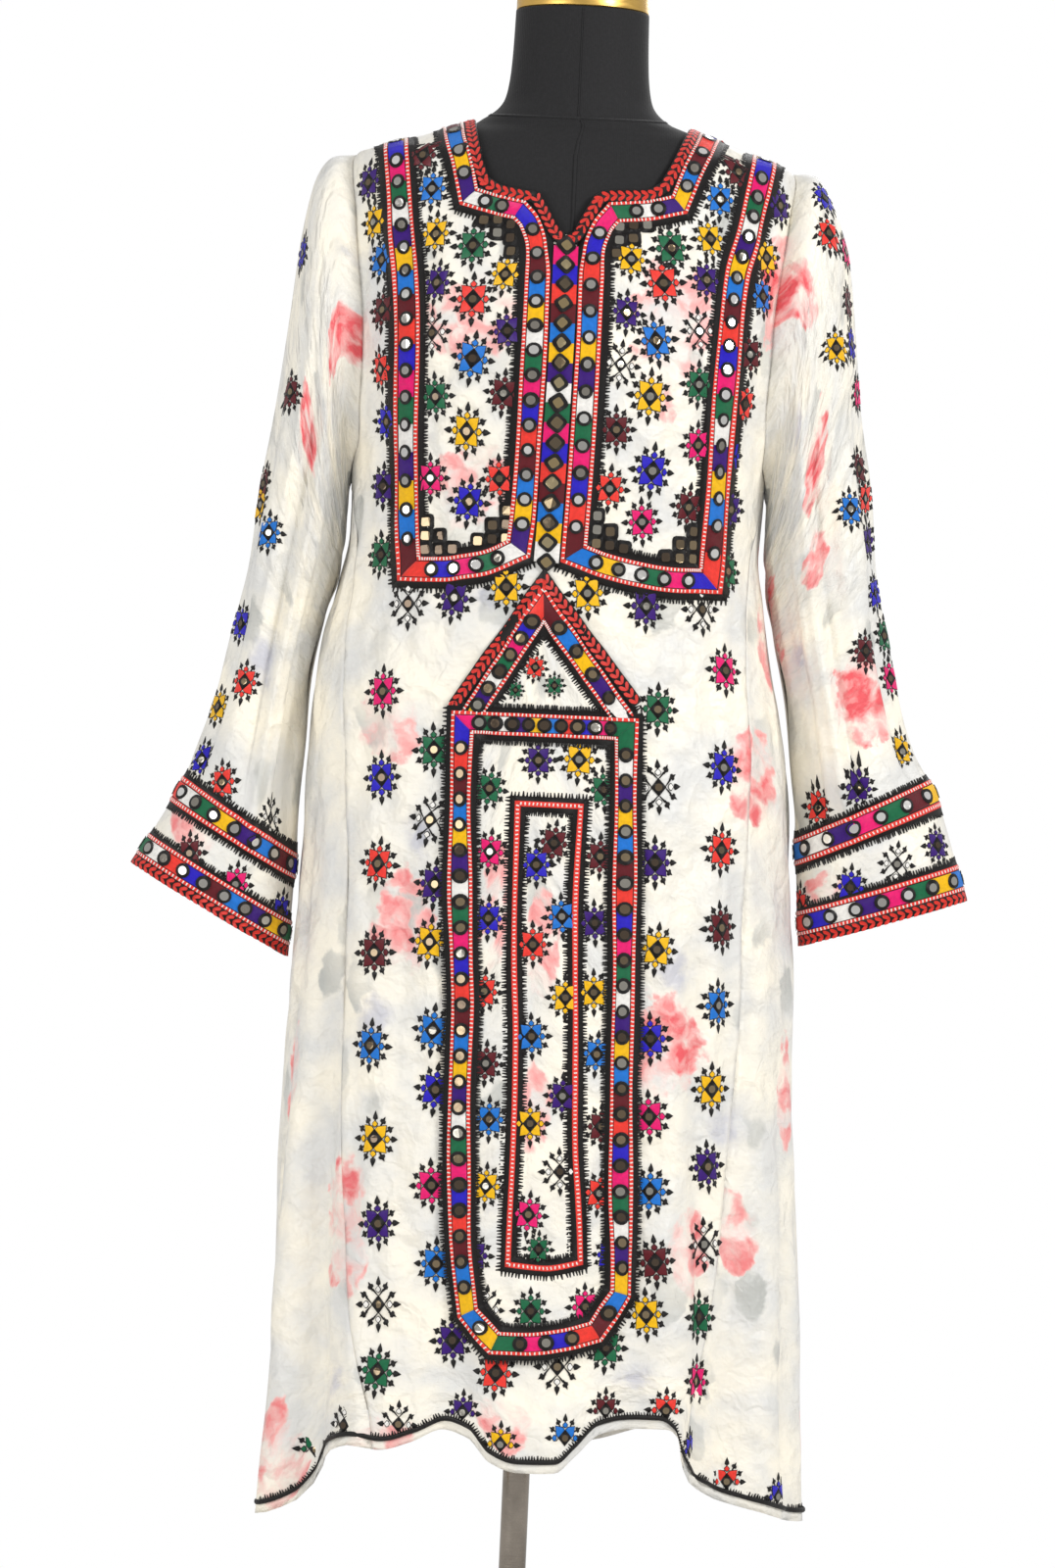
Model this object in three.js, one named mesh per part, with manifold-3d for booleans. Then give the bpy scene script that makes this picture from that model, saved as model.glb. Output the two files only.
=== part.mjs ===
// A kuchi dress on a limbless dress form with its pole and base.
// Millimetres, +Z up, the front faces -Y, the origin is the centre of the base on the floor.
import * as THREE from "three";
import { mergeVertices } from "three/addons/utils/BufferGeometryUtils.js";
import Module from "manifold-3d";

const wasm = await Module();
wasm.setup();

// Thicknesses and clearances
const CLOTH = 2; // wall of the dress
const SEAM = 0.3; // gap between two panels at a seam
const LIFT = 0.7; // gap between a trim and the faceted panel under it
const TRIM = 1.1; // thickness of an embroidered band
const ROUNDNESS = 0.9; // exponent that fills out the body's oval sections

// Stand
const BASE_RADIUS = 190;
const BASE_HEIGHT = 12;
const HUB_RADIUS = 19;
const HUB_HEIGHT = 46;
const POLE_RADIUS = 11;
const TORSO_BOTTOM = 690;
const NECK_TOP = 1514;
const CAP_RADIUS = 54;

// Trim widths
const BRAID_WIDTH = 7;
const LINE_WIDTH = 7;
const COLLAR_BAND = 17; // bib band beside the neckline
const BIB_BAND = 20;
const CENTRE_BAND = 22;
const PEAK_BAND = 17;
const FRAME_BAND = 18;

// Colours
const SILK = 0xe9e4d8;
const SATIN = 0xb0262c;
const BRAID = 0xc22320;
const JERSEY = 0x1d1b1c;
const BRASS = 0xc9a24a;
const STEEL = 0xa9a08f;

// Turns rows of numbers into objects with named columns.
const table = (columns, rows) =>
  rows.map((row) => Object.fromEntries(columns.map((name, i) => [name, row[i]])));

// Outer face of the dress in level sections: height, sideways centre, half width, depth before and behind.
const BODY = table(
  ["z", "centre", "half", "front", "back"],
  [
    [280, 8, 221, 154, 145],
    [400, 7, 215, 150, 141],
    [500, 6, 213, 147, 138],
    [600, 4, 209, 144, 135],
    [700, 3, 206, 142, 132],
    [800, 2, 200, 139, 130],
    [900, 0, 195, 132, 121],
    [950, -4, 190, 126, 112],
    [1000, -6, 181, 122, 103],
    [1040, -4, 173, 120.5, 97],
    [1080, -3, 167, 121, 94],
    [1130, -2, 168, 124, 94],
    [1180, -1, 172, 128, 97],
    [1210, 0, 175, 129, 100],
    [1240, 0, 178, 125, 102],
    [1280, 0, 181, 114, 102],
    [1320, 0, 183, 101, 98],
    [1350, 0, 184, 92, 92],
    [1375, 0, 183, 85, 82],
    [1386, 0, 180.5, 82, 77.5],
    [1392, 0, 177, 80, 74.5],
    [1399, 1, 156.5, 77, 69],
    [1406, 2, 135, 73.5, 64],
    [1413, 4, 114, 70, 60],
    [1420, 5, 93, 66, 56],
  ],
);

// Where the front panel ends to each side, in degrees round the section: the gore seam up to the
// underarm, then the armhole, then the shoulder seam. The back panel ends at the same angle behind.
const UNDERARM = 1126;
const SHOULDER_TIP = 1392;
const SEAM_LINE = table(
  ["z", "deg"],
  [
    [280, 33.5],
    [346, 34],
    [465, 43],
    [630, 49.5],
    [800, 53.2],
    [957, 59.5],
    [1060, 70],
    [1105, 80],
    [UNDERARM, 88],
    [1150, 78],
    [1180, 73],
    [1215, 70],
    [1260, 68.5],
    [1310, 70],
    [1350, 74],
    [1378, 81],
    [SHOULDER_TIP, 90],
    [1420, 90],
  ],
);

// Hem of the cloth round the dress, as hung: degrees from the front centre, height.
const HEM = table(
  ["deg", "z"],
  [
    [-90, 303],
    [-76, 292],
    [-68, 288],
    [-59, 301],
    [-52, 332],
    [-46, 346],
    [-39, 352],
    [-32.6, 350],
    [-25, 358],
    [-18, 369],
    [-12.7, 364],
    [-7.9, 346],
    [-2, 339],
    [5.8, 340],
    [9.7, 352],
    [15, 371],
    [22, 376],
    [28.3, 377],
    [31.4, 370],
    [33.8, 346],
    [38.7, 330],
    [51.8, 314],
    [77.7, 298],
    [90, 300],
    [110, 318],
    [130, 345],
    [150, 352],
    [165, 338],
    [180, 330],
    [195, 340],
    [210, 356],
    [230, 350],
    [250, 322],
    [262, 312],
    [270, 303],
  ],
);

// Long folds that fall to the hem: place round the dress, depth at the hem (ridge +, trough -),
// half width in degrees, and the height where the fold starts.
const FOLDS = table(
  ["deg", "depth", "width", "start"],
  [
    [-80, -8, 7, 700],
    [-68, 13, 7, 800],
    [-54, -13, 7, 900],
    [-38, 8, 7, 800],
    [-19, -7, 9, 640],
    [0, 6, 9, 600],
    [20, -8, 8, 660],
    [32, 11, 6, 820],
    [46, -13, 8, 900],
    [60, 8, 7, 780],
    [76, 11, 7, 690],
    [96, -10, 9, 700],
    [114, 11, 8, 880],
    [130, -13, 9, 920],
    [147, 11, 8, 860],
    [163, -11, 8, 900],
    [180, 10, 9, 840],
    [198, -11, 8, 900],
    [214, 11, 8, 860],
    [231, -13, 8, 900],
    [247, 11, 8, 820],
    [262, -10, 8, 700],
  ],
);
const FOLD_FULL = 330; // height where a fold has its whole depth

// Heights of the rows of points on the panels, above the part that follows the hem
const SHOULDER_ROWS = [1420, 1414, 1407, 1400];
const ARMHOLE_ROWS = [
  SHOULDER_TIP, 1380, 1362, 1340, 1315, 1290, 1262, 1235, 1205, 1175, 1150, UNDERARM,
];
const SKIRT_ROWS = [1102, 1078, 1052, 1025, 990, 945, 890, 830, 760, 690, 620, 550, 480];
const HEM_ZONE = 420; // below this height the rows bend to the hem
const HEM_ROWS = 3;
const FRONT_COLUMNS = 24;
const BACK_COLUMNS = 14;
const GORE_COLUMNS = 7;

// Neckline of the front as seen from the front, from the left neck point to the right one
const FRONT_NECK = table(
  ["x", "z"],
  [
    [-83, 1421],
    [-80, 1404],
    [-75, 1384],
    [-69, 1368],
    [-60, 1363],
    [-40, 1359],
    [-28, 1357],
    [-20, 1344],
    [-12, 1330],
    [-5, 1321],
    [1, 1326],
    [8, 1339],
    [17, 1356],
    [25, 1361],
    [60, 1364],
    [70, 1370],
    [78, 1386],
    [86, 1404],
    [93, 1421],
  ],
);
const BACK_NECK = table(
  ["x", "z"],
  [
    [-83, 1421],
    [-66, 1409],
    [-35, 1401],
    [5, 1398],
    [45, 1401],
    [76, 1409],
    [93, 1421],
  ],
);

// Sleeves in sections from the armhole to the cuff: the outer and the inner end of each section
// as seen from the front, and its half depth.
const SLEEVE_COLUMNS = ["s", "outerX", "outerZ", "innerX", "innerZ", "depth"];
const SLEEVE_LEFT = table(SLEEVE_COLUMNS, [
  [0, -179, 1393, -170, 1126, 52],
  [1, -197, 1388, -172, 1117, 55],
  [2, -212, 1367, -172.5, 1106, 56],
  [3, -220, 1320, -173, 1094, 57],
  [4, -226, 1262, -174, 1078, 56],
  [5, -232, 1205, -176, 1062, 54],
  [6, -240, 1140, -180, 1042, 52],
  [7, -248, 1080, -187, 1016, 50],
  [8, -256, 1020, -193.5, 985, 48],
  [9, -268, 965, -198.5, 940, 47],
  [10, -284, 910, -200.5, 880, 46],
  [11, -296, 878, -202, 819, 45],
  [12, -306, 857, -203, 798, 44],
  [13, -322, 830, -204.5, 764, 42],
  [14, -336, 806, -206, 735, 38],
]);
const SLEEVE_RIGHT = table(SLEEVE_COLUMNS, [
  [0, 179, 1393, 166, 1126, 52],
  [1, 196, 1390, 168.5, 1117, 55],
  [2, 213, 1368, 168.5, 1106, 56],
  [3, 227, 1320, 168.5, 1093, 57],
  [4, 235, 1262, 169, 1078, 56],
  [5, 241, 1205, 171, 1062, 54],
  [6, 250, 1148, 174, 1042, 52],
  [7, 258, 1090, 179, 1015, 50],
  [8, 266, 1035, 186, 985, 48],
  [9, 281, 972, 195, 938, 47],
  [10, 300, 918, 202, 878, 46],
  [11, 311, 902, 204, 849, 45],
  [12, 321, 880, 206, 827, 44],
  [13, 337, 834, 209, 790, 42],
  [14, 346, 805, 211.5, 762, 38],
]);
const SLEEVE_ROWS = [0, 0.5, 1, 2, 3, 4, 5, 6, 7, 8, 9, 10, 11, 12, 13, 13.72, 14];
const UPPER_BAND_ROWS = [11, 12];
const LOWER_BAND_ROWS = [13, 13.7];
const CUFF_BRAID_ROWS = [13.74, 14];

// Long folds of a sleeve: degrees round it (0 inner, 90 front, 180 outer), depth, half width, span.
const SLEEVE_FOLDS = table(
  ["deg", "depth", "width", "from", "to"],
  [
    [38, -5, 16, 2, 12],
    [66, 4, 15, 1.5, 11],
    [98, -5, 14, 2.5, 10],
    [130, 3.5, 14, 2, 9],
    [158, -3, 12, 4, 11],
    [212, 4, 15, 2, 11],
    [245, -5, 16, 2, 12],
    [280, 4, 15, 2, 10],
    [315, -4, 15, 3, 12],
  ],
);

// Centre lines of the embroidered bands on the front, as seen from the front
const BIB_LEFT = table(
  ["x", "z", "width"],
  [
    [-148, 1415, BIB_BAND],
    [-143, 1378, BIB_BAND],
    [-137.5, 1330, BIB_BAND],
    [-132, 1290, BIB_BAND],
    [-129, 1250, BIB_BAND],
    [-127, 1200, BIB_BAND],
    [-125, 1150, BIB_BAND],
    [-122, 1100, BIB_BAND],
    [-118, 1052, BIB_BAND],
    [-105, 1052, BIB_BAND],
    [-90, 1052.5, BIB_BAND],
    [-75, 1055, BIB_BAND],
    [-60, 1058, BIB_BAND],
    [-31.4, 1071, BIB_BAND],
    [-29, 1100, BIB_BAND],
    [-27.5, 1150, BIB_BAND],
    [-26.5, 1200, BIB_BAND],
    [-26, 1250, BIB_BAND],
    [-26, 1290, BIB_BAND],
    [-28, 1314, COLLAR_BAND],
    [-34.5, 1333, COLLAR_BAND],
    [-43, 1343, COLLAR_BAND],
    [-60, 1346.5, COLLAR_BAND],
    [-84, 1353, COLLAR_BAND],
    [-91.5, 1384, COLLAR_BAND],
    [-97.5, 1402, COLLAR_BAND],
    [-101.5, 1425, COLLAR_BAND],
  ],
);
const BIB_RIGHT = table(
  ["x", "z", "width"],
  [
    [156, 1412, BIB_BAND],
    [150, 1378, BIB_BAND],
    [142, 1335, BIB_BAND],
    [134, 1300, BIB_BAND],
    [130, 1250, BIB_BAND],
    [128, 1200, BIB_BAND],
    [126, 1150, BIB_BAND],
    [125, 1100, BIB_BAND],
    [123, 1053, BIB_BAND],
    [109, 1052.5, BIB_BAND],
    [95, 1052, BIB_BAND],
    [80, 1053, BIB_BAND],
    [65, 1055, BIB_BAND],
    [40, 1060, BIB_BAND],
    [12.6, 1069, BIB_BAND],
    [13.8, 1100, BIB_BAND],
    [15.4, 1150, BIB_BAND],
    [16.4, 1200, BIB_BAND],
    [17, 1250, BIB_BAND],
    [17, 1290, BIB_BAND],
    [18, 1312, COLLAR_BAND],
    [23.5, 1331, COLLAR_BAND],
    [33, 1344.5, COLLAR_BAND],
    [60, 1347.5, COLLAR_BAND],
    [85, 1354, COLLAR_BAND],
    [95.5, 1384, COLLAR_BAND],
    [103.5, 1402, COLLAR_BAND],
    [111.5, 1425, COLLAR_BAND],
  ],
);
const CENTRE = table(
  ["x", "z", "width"],
  [
    [-4.5, 1308, CENTRE_BAND],
    [-4.5, 1250, CENTRE_BAND],
    [-5.1, 1200, CENTRE_BAND],
    [-6.1, 1150, CENTRE_BAND],
    [-7.6, 1100, CENTRE_BAND],
    [-9, 1061, CENTRE_BAND],
  ],
);

// Pocket panel: its sides by height, and its upper and lower edges by the share of its width
const POCKET_SIDES = table(
  ["z", "left", "right"],
  [
    [430, -48, 70],
    [480, -58, 88],
    [520, -64, 86],
    [560, -66, 83],
    [600, -68, 81],
    [640, -69, 79.5],
    [700, -69.5, 78],
    [740, -72, 77],
    [800, -76, 75],
    [860, -79, 73],
    [940, -80, 71],
  ],
);
const POCKET_TOP = table(
  ["share", "z"],
  [
    [0, 940],
    [0.457, 1054],
    [1, 948],
  ],
);
const POCKET_BOTTOM = table(
  ["share", "z"],
  [
    [0, 457],
    [0.22, 430],
    [0.4, 430],
    [0.8, 441],
    [1, 476],
  ],
);
const POCKET_COLUMNS = [0, 0.11, 0.22, 0.34, 0.457, 0.57, 0.69, 0.8, 0.9, 1];
const POCKET_ROWS = 22;

const POCKET_BRAID = table(
  ["x", "z", "width"],
  [
    [-77, 944, BRAID_WIDTH],
    [-9.9, 1048, BRAID_WIDTH],
    [68.3, 951, BRAID_WIDTH],
  ],
);
const PEAK = table(
  ["x", "z", "width"],
  [
    [-51, 956, PEAK_BAND],
    [-9, 1023.5, PEAK_BAND],
    [43, 958, PEAK_BAND],
  ],
);
const FRAME = table(
  ["x", "z", "width"],
  [
    [-69, 930.5, FRAME_BAND],
    [-68, 860, FRAME_BAND],
    [-65.5, 800, FRAME_BAND],
    [-61.5, 740, FRAME_BAND],
    [-59, 700, FRAME_BAND],
    [-58.5, 640, FRAME_BAND],
    [-57.5, 600, FRAME_BAND],
    [-55.5, 560, FRAME_BAND],
    [-53, 520, FRAME_BAND],
    [-44, 463, FRAME_BAND],
    [-22, 440.5, FRAME_BAND],
    [4, 441, FRAME_BAND],
    [30, 445, FRAME_BAND],
    [57, 452.5, FRAME_BAND],
    [76, 483, FRAME_BAND],
    [75, 520, FRAME_BAND],
    [72.5, 560, FRAME_BAND],
    [70.5, 600, FRAME_BAND],
    [69, 640, FRAME_BAND],
    [67.5, 700, FRAME_BAND],
    [66.5, 740, FRAME_BAND],
    [64.5, 800, FRAME_BAND],
    [62.5, 860, FRAME_BAND],
    [60.5, 930.5, FRAME_BAND],
  ],
);
const INNER_LINE = table(
  ["x", "z", "width"],
  [
    [-23, 868, LINE_WIDTH],
    [-22, 800, LINE_WIDTH],
    [-20, 740, LINE_WIDTH],
    [-16.5, 680, LINE_WIDTH],
    [-15, 620, LINE_WIDTH],
    [-15, 560, LINE_WIDTH],
    [-14, 503, LINE_WIDTH],
    [14, 501, LINE_WIDTH],
    [42, 507, LINE_WIDTH],
    [38, 560, LINE_WIDTH],
    [34.5, 600, LINE_WIDTH],
    [32, 650, LINE_WIDTH],
    [30, 700, LINE_WIDTH],
    [28, 740, LINE_WIDTH],
    [26, 800, LINE_WIDTH],
    [27, 868, LINE_WIDTH],
  ],
);
const BAND_STEP = 19; // distance between points along a band
const SHOULDER_STEP = 6; // the same where the cloth bends over the shoulder
const SHOULDER_BEND = 1380;
const FINE = 0.02; // share of a stretch that is tried for the next point

// Torso of the dress form below the shoulders, and its neck, in level sections
const FORM_COLUMNS = ["z", "centre", "half", "front", "back"];
const FORM_TORSO = table(FORM_COLUMNS, [
  [TORSO_BOTTOM, 0, 150, 98, 100],
  [702, 0, 163, 108, 110],
  [760, 0, 168, 113, 114],
  [860, 0, 168, 114, 112],
  [940, -2, 155, 104, 99],
  [1030, -3, 130, 92, 80],
  [1100, -2, 138, 99, 82],
  [1170, 0, 150, 112, 88],
  [1215, 0, 156, 119, 92],
  [1270, 0, 159, 110, 94],
  [1310, 0, 162, 99, 91],
  [1345, 0, 166, 88.5, 86],
  [1370, 0, 171, 81.5, 78],
]);
const FORM_SHOULDER = [1391, 1399, 1406, 1413, 1420]; // heights of the cloth that rests on it
const SHOULDER_DROP = 2.8; // the form's shoulder lies this far below the cloth's outer face
const FORM_NECK = table(FORM_COLUMNS, [
  [1421, 3, 84, 63.5, 54],
  [1424.5, 1, 77, 62, 54],
  [1430, 1, 69, 61, 54],
  [1435, 1, 64, 59.5, 54],
  [1441, 1, 60.5, 58, 54],
  [1450, 1, 58.2, 57, 54],
  [1465, 1, 56.3, 56, 54],
  [1485, 1, 55.2, 55, 54],
  [NECK_TOP, 1, 54.4, 54, 54],
]);
const FORM_SIDES = 26;

const rad = THREE.MathUtils.degToRad;
const lerp = THREE.MathUtils.lerp;
const vec = (x, y, z) => new THREE.Vector3(x, y, z);

// Smooth curve through the rows of a table, with no overshoot between them.
function curve(rows, key, column) {
  const at = rows.map((row) => row[key]);
  const value = rows.map((row) => row[column]);
  const last = at.length - 1;
  const slope = at.slice(0, last).map((v, i) => (value[i + 1] - value[i]) / (at[i + 1] - v));
  const tangent = value.map((v, i) => {
    if (i === 0) return slope[0];
    if (i === last) return slope[last - 1];
    const product = slope[i - 1] * slope[i];
    return product <= 0 ? 0 : (2 * product) / (slope[i - 1] + slope[i]);
  });
  return (where) => {
    const x = THREE.MathUtils.clamp(where, at[0], at[last]);
    let i = 0;
    while (i < last - 1 && x > at[i + 1]) i++;
    const h = at[i + 1] - at[i];
    const t = (x - at[i]) / h;
    const near = (1 + 2 * t) * (1 - t) ** 2 * value[i] + t * (1 - t) ** 2 * h * tangent[i];
    return near + t * t * (3 - 2 * t) * value[i + 1] + t * t * (t - 1) * h * tangent[i + 1];
  };
}

// One curve for each column of a table, by its first column.
function curves(rows) {
  const [key, ...columns] = Object.keys(rows[0]);
  return Object.fromEntries(columns.map((name) => [name, curve(rows, key, name)]));
}

// Straight lines through the rows of a table.
function straight(rows, key, column) {
  return (where) => {
    let i = 0;
    while (i < rows.length - 2 && where > rows[i + 1][key]) i++;
    const t = (where - rows[i][key]) / (rows[i + 1][key] - rows[i][key]);
    return lerp(rows[i][column], rows[i + 1][column], THREE.MathUtils.clamp(t, 0, 1));
  };
}

const body = curves(BODY);
const seamLine = curve(SEAM_LINE, "z", "deg");
const hemCurve = curve(HEM, "deg", "z");
const hem = (deg) => hemCurve(THREE.MathUtils.euclideanModulo(deg + 90, 360) - 90);

// Point of an oval section, moved out along the section's own normal.
function ovalPoint(section, deg, z, out) {
  const sin = Math.sin(rad(deg));
  const cos = Math.cos(rad(deg));
  const half = section.half(z);
  const depth = cos > 0 ? section.front(z) : section.back(z);
  const normal = new THREE.Vector2(sin / half, -cos / depth).normalize();
  const y = -depth * Math.sign(cos) * Math.abs(cos) ** ROUNDNESS;
  return vec(section.centre(z) + half * sin + normal.x * out, y + normal.y * out, z);
}

// Bump of height 1 with smooth shoulders.
const bump = (distance, width) => Math.exp(-((distance / width) ** 2));

function foldDepth(deg, z) {
  let depth = 0;
  for (const fold of FOLDS) {
    const away = THREE.MathUtils.euclideanModulo(deg - fold.deg + 180, 360) - 180;
    const grown = THREE.MathUtils.smoothstep(fold.start - z, 0, fold.start - FOLD_FULL);
    depth += fold.depth * grown * bump(away, fold.width);
  }
  return depth;
}

// Outer face of the dress, moved out by a distance.
function dressPoint(deg, z, out = 0) {
  return ovalPoint(body, deg, z, foldDepth(deg, z) + out);
}

// Direction that the dress faces at a place, the same on both sides of a seam.
function dressNormal(deg, z) {
  const step = 0.5;
  const along = dressPoint(deg + step, z).sub(dressPoint(deg - step, z));
  const down = dressPoint(deg, z - step).sub(dressPoint(deg, z + step));
  return down.cross(along).normalize();
}

// Place on the dress, in degrees and height, that is seen from the front at x, z.
function frontPlace(x, z) {
  let height = Math.min(z, BODY.at(-1).z);
  const share = (h) => (x - body.centre(h)) / body.half(h);
  while (Math.abs(share(height)) > Math.sin(rad(89))) height -= 0.1;
  return [THREE.MathUtils.radToDeg(Math.asin(share(height))), height];
}

// Closed wall over a grid of points: rows run down and columns run round, seen from outside.
// It reaches from `inner` to `outer`, measured along the grid's normals or along those that are given.
function wall(grid, { inner, outer, ring = false, mirrored = false, normals = null }) {
  const columns = grid[0].length;
  const spans = ring ? columns : columns - 1;
  const count = grid.length * columns;
  const id = (r, c) => r * columns + (c % columns);
  const skin = [];
  for (let r = 0; r < grid.length - 1; r++)
    for (let c = 0; c < spans; c++) {
      const [a, b, d, e] = [id(r, c), id(r + 1, c), id(r, c + 1), id(r + 1, c + 1)];
      skin.push(...(mirrored ? [a, d, b, d, e, b] : [a, b, d, d, b, e]));
    }
  const points = grid.flat();
  const flat = new THREE.BufferGeometry().setFromPoints(points);
  flat.setIndex(skin);
  flat.computeVertexNormals();
  const measured = flat.getAttribute("normal");
  const given = normals
    ? normals.flat()
    : points.map((_, i) => vec(0, 0, 0).fromBufferAttribute(measured, i));
  const shifted = (distance) => points.map((p, i) => p.clone().addScaledVector(given[i], distance));
  const faces = [...skin];
  for (let i = 0; i < skin.length; i += 3)
    faces.push(skin[i] + count, skin[i + 2] + count, skin[i + 1] + count);
  const edge = (a, b) => {
    const [p, q] = mirrored ? [a, b] : [b, a];
    // The diagonal runs the same way on both sides of a seam.
    if (p < q) faces.push(p, q + count, p + count, p, q, q + count);
    else faces.push(p, q, p + count, q, q + count, p + count);
  };
  const bottom = grid.length - 1;
  for (let c = 0; c < spans; c++) {
    edge(id(0, c + 1), id(0, c));
    edge(id(bottom, c), id(bottom, c + 1));
  }
  if (!ring)
    for (let r = 0; r < bottom; r++) {
      edge(id(r, 0), id(r + 1, 0));
      edge(id(r + 1, columns - 1), id(r, columns - 1));
    }
  const geometry = new THREE.BufferGeometry().setFromPoints([...shifted(outer), ...shifted(inner)]);
  geometry.setIndex(faces);
  return geometry;
}

function solid(geometry) {
  const plain = geometry.clone();
  for (const name of ["normal", "uv"]) plain.deleteAttribute(name);
  const merged = mergeVertices(plain, 1e-3);
  return new wasm.Manifold(
    new wasm.Mesh({
      numProp: 3,
      vertProperties: merged.attributes.position.array,
      triVerts: new Uint32Array(merged.index.array),
    }),
  );
}

function geometryOf(manifold) {
  const made = manifold.getMesh();
  const geometry = new THREE.BufferGeometry();
  geometry.setAttribute("position", new THREE.BufferAttribute(made.vertProperties, 3));
  geometry.setIndex(new THREE.BufferAttribute(made.triVerts, 1));
  return geometry;
}

const dress = new THREE.Group();

function add(name, geometry, { color, roughness = 0.8, metalness = 0 }) {
  const shown = geometry.toNonIndexed();
  shown.computeVertexNormals();
  const mesh = new THREE.Mesh(shown, new THREE.MeshStandardMaterial({ color, roughness, metalness }));
  mesh.name = name;
  dress.add(mesh);
}

const silk = { color: SILK, roughness: 0.6 };
const satin = { color: SATIN, roughness: 0.45 };
const braid = { color: BRAID, roughness: 0.6 };

// Angle that is `distance` wide at a place on the dress.
function angleOf(distance, deg, z) {
  const perDegree = dressPoint(deg + 0.5, z).distanceTo(dressPoint(deg - 0.5, z));
  return distance / perDegree;
}

// Rows of heights for a column: level at first, then bending to the hem.
function heights(from, deg) {
  const level = [...SHOULDER_ROWS, ...ARMHOLE_ROWS, ...SKIRT_ROWS, HEM_ZONE].filter((z) => z <= from);
  const low = hem(deg);
  for (let i = 1; i <= HEM_ROWS; i++) level.push(lerp(HEM_ZONE, low, i / HEM_ROWS));
  return level;
}

// Panel of the dress between two sides, each a function of height that gives degrees.
function panel(from, columns, sideA, sideB) {
  const low = (share) => lerp(sideA(FOLD_FULL), sideB(FOLD_FULL), share);
  const count = heights(from, 0).length;
  const places = [];
  for (let r = 0; r < count; r++) {
    const row = [];
    for (let c = 0; c <= columns; c++) {
      const z = heights(from, low(c / columns))[r];
      row.push([lerp(sideA(z), sideB(z), c / columns), z]);
    }
    places.push(row);
  }
  const each = (make) => places.map((row) => row.map(([deg, z]) => make(deg, z)));
  return wall(each((deg, z) => dressPoint(deg, z)), { inner: -CLOTH, outer: 0, normals: each(dressNormal) });
}

// Prism along Y that cuts a neckline.
function neckCutter(outline, near, far) {
  const above = outline[0].z + 30;
  const shape = new THREE.Shape();
  shape.moveTo(outline[0].x, above);
  for (const point of outline) shape.lineTo(point.x, point.z);
  shape.lineTo(outline.at(-1).x, above);
  const prism = new THREE.ExtrudeGeometry(shape, { depth: far - near, bevelEnabled: false });
  return solid(prism.rotateX(Math.PI / 2).translate(0, far, 0));
}

function addPanels() {
  const inset = (z) => angleOf(SEAM / 2, seamLine(z), z);
  const top = BODY.at(-1).z;
  const front = panel(
    top,
    FRONT_COLUMNS,
    (z) => -(seamLine(z) - inset(z)),
    (z) => seamLine(z) - inset(z),
  );
  const back = panel(
    top,
    BACK_COLUMNS,
    (z) => 180 - seamLine(z) + inset(z),
    (z) => 180 + seamLine(z) - inset(z),
  );
  add("front_panel", geometryOf(solid(front).subtract(neckCutter(FRONT_NECK, -200, 10))), silk);
  add("back_panel", geometryOf(solid(back).subtract(neckCutter(BACK_NECK, -10, 200))), silk);
  for (const [name, turn] of [["gore_right", 0], ["gore_left", 180]]) {
    const gore = panel(
      UNDERARM,
      GORE_COLUMNS,
      (z) => turn + seamLine(z) + inset(z),
      (z) => turn + 180 - seamLine(z) - inset(z),
    );
    add(name, gore, silk);
  }
}

// Points of the armhole, from the underarm up the front and down the back.
function armhole(side) {
  const up = [...ARMHOLE_ROWS].reverse();
  const down = ARMHOLE_ROWS.slice(1, -1);
  const edge = (z) => {
    if (z === UNDERARM || z === SHOULDER_TIP) return 90;
    return seamLine(z) + angleOf(SEAM, seamLine(z), z);
  };
  const ring = up.map((z) => dressPoint(side * edge(z), z));
  ring.push(...down.map((z) => dressPoint(side * (180 - edge(z)), z)));
  return ring.map((p) => p.add(vec(side * SEAM, 0, 0)));
}

// Angle round the sleeve of each armhole point, by its share of the length of the armhole.
function armholeAngles(ring) {
  const lengths = ring.map((p, i) => p.distanceTo(ring[(i + 1) % ring.length]));
  const total = lengths.reduce((sum, l) => sum + l, 0);
  let gone = 0;
  return lengths.map((length) => {
    const deg = (360 * gone) / total;
    gone += length;
    return deg;
  });
}

function sleeveFold(deg, s) {
  let depth = 0;
  for (const fold of SLEEVE_FOLDS) {
    const away = THREE.MathUtils.euclideanModulo(deg - fold.deg + 180, 360) - 180;
    const grown = THREE.MathUtils.smoothstep(s, fold.from, fold.from + 2);
    const faded = 1 - THREE.MathUtils.smoothstep(s, fold.to - 2, fold.to);
    depth += fold.depth * grown * faded * bump(away, fold.width);
  }
  return depth;
}

function sleeveSection(section, deg, s) {
  const outer = vec(section.outerX(s), 0, section.outerZ(s));
  const inner = vec(section.innerX(s), 0, section.innerZ(s));
  const centre = outer.clone().add(inner).multiplyScalar(0.5);
  const half = outer.sub(inner).multiplyScalar(0.5);
  const out = sleeveFold(deg, s);
  const grow = 1 + out / half.length();
  return centre
    .addScaledVector(half, -Math.cos(rad(deg)) * grow)
    .add(vec(0, -Math.sin(rad(deg)) * (section.depth(s) + out), 0));
}

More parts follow.
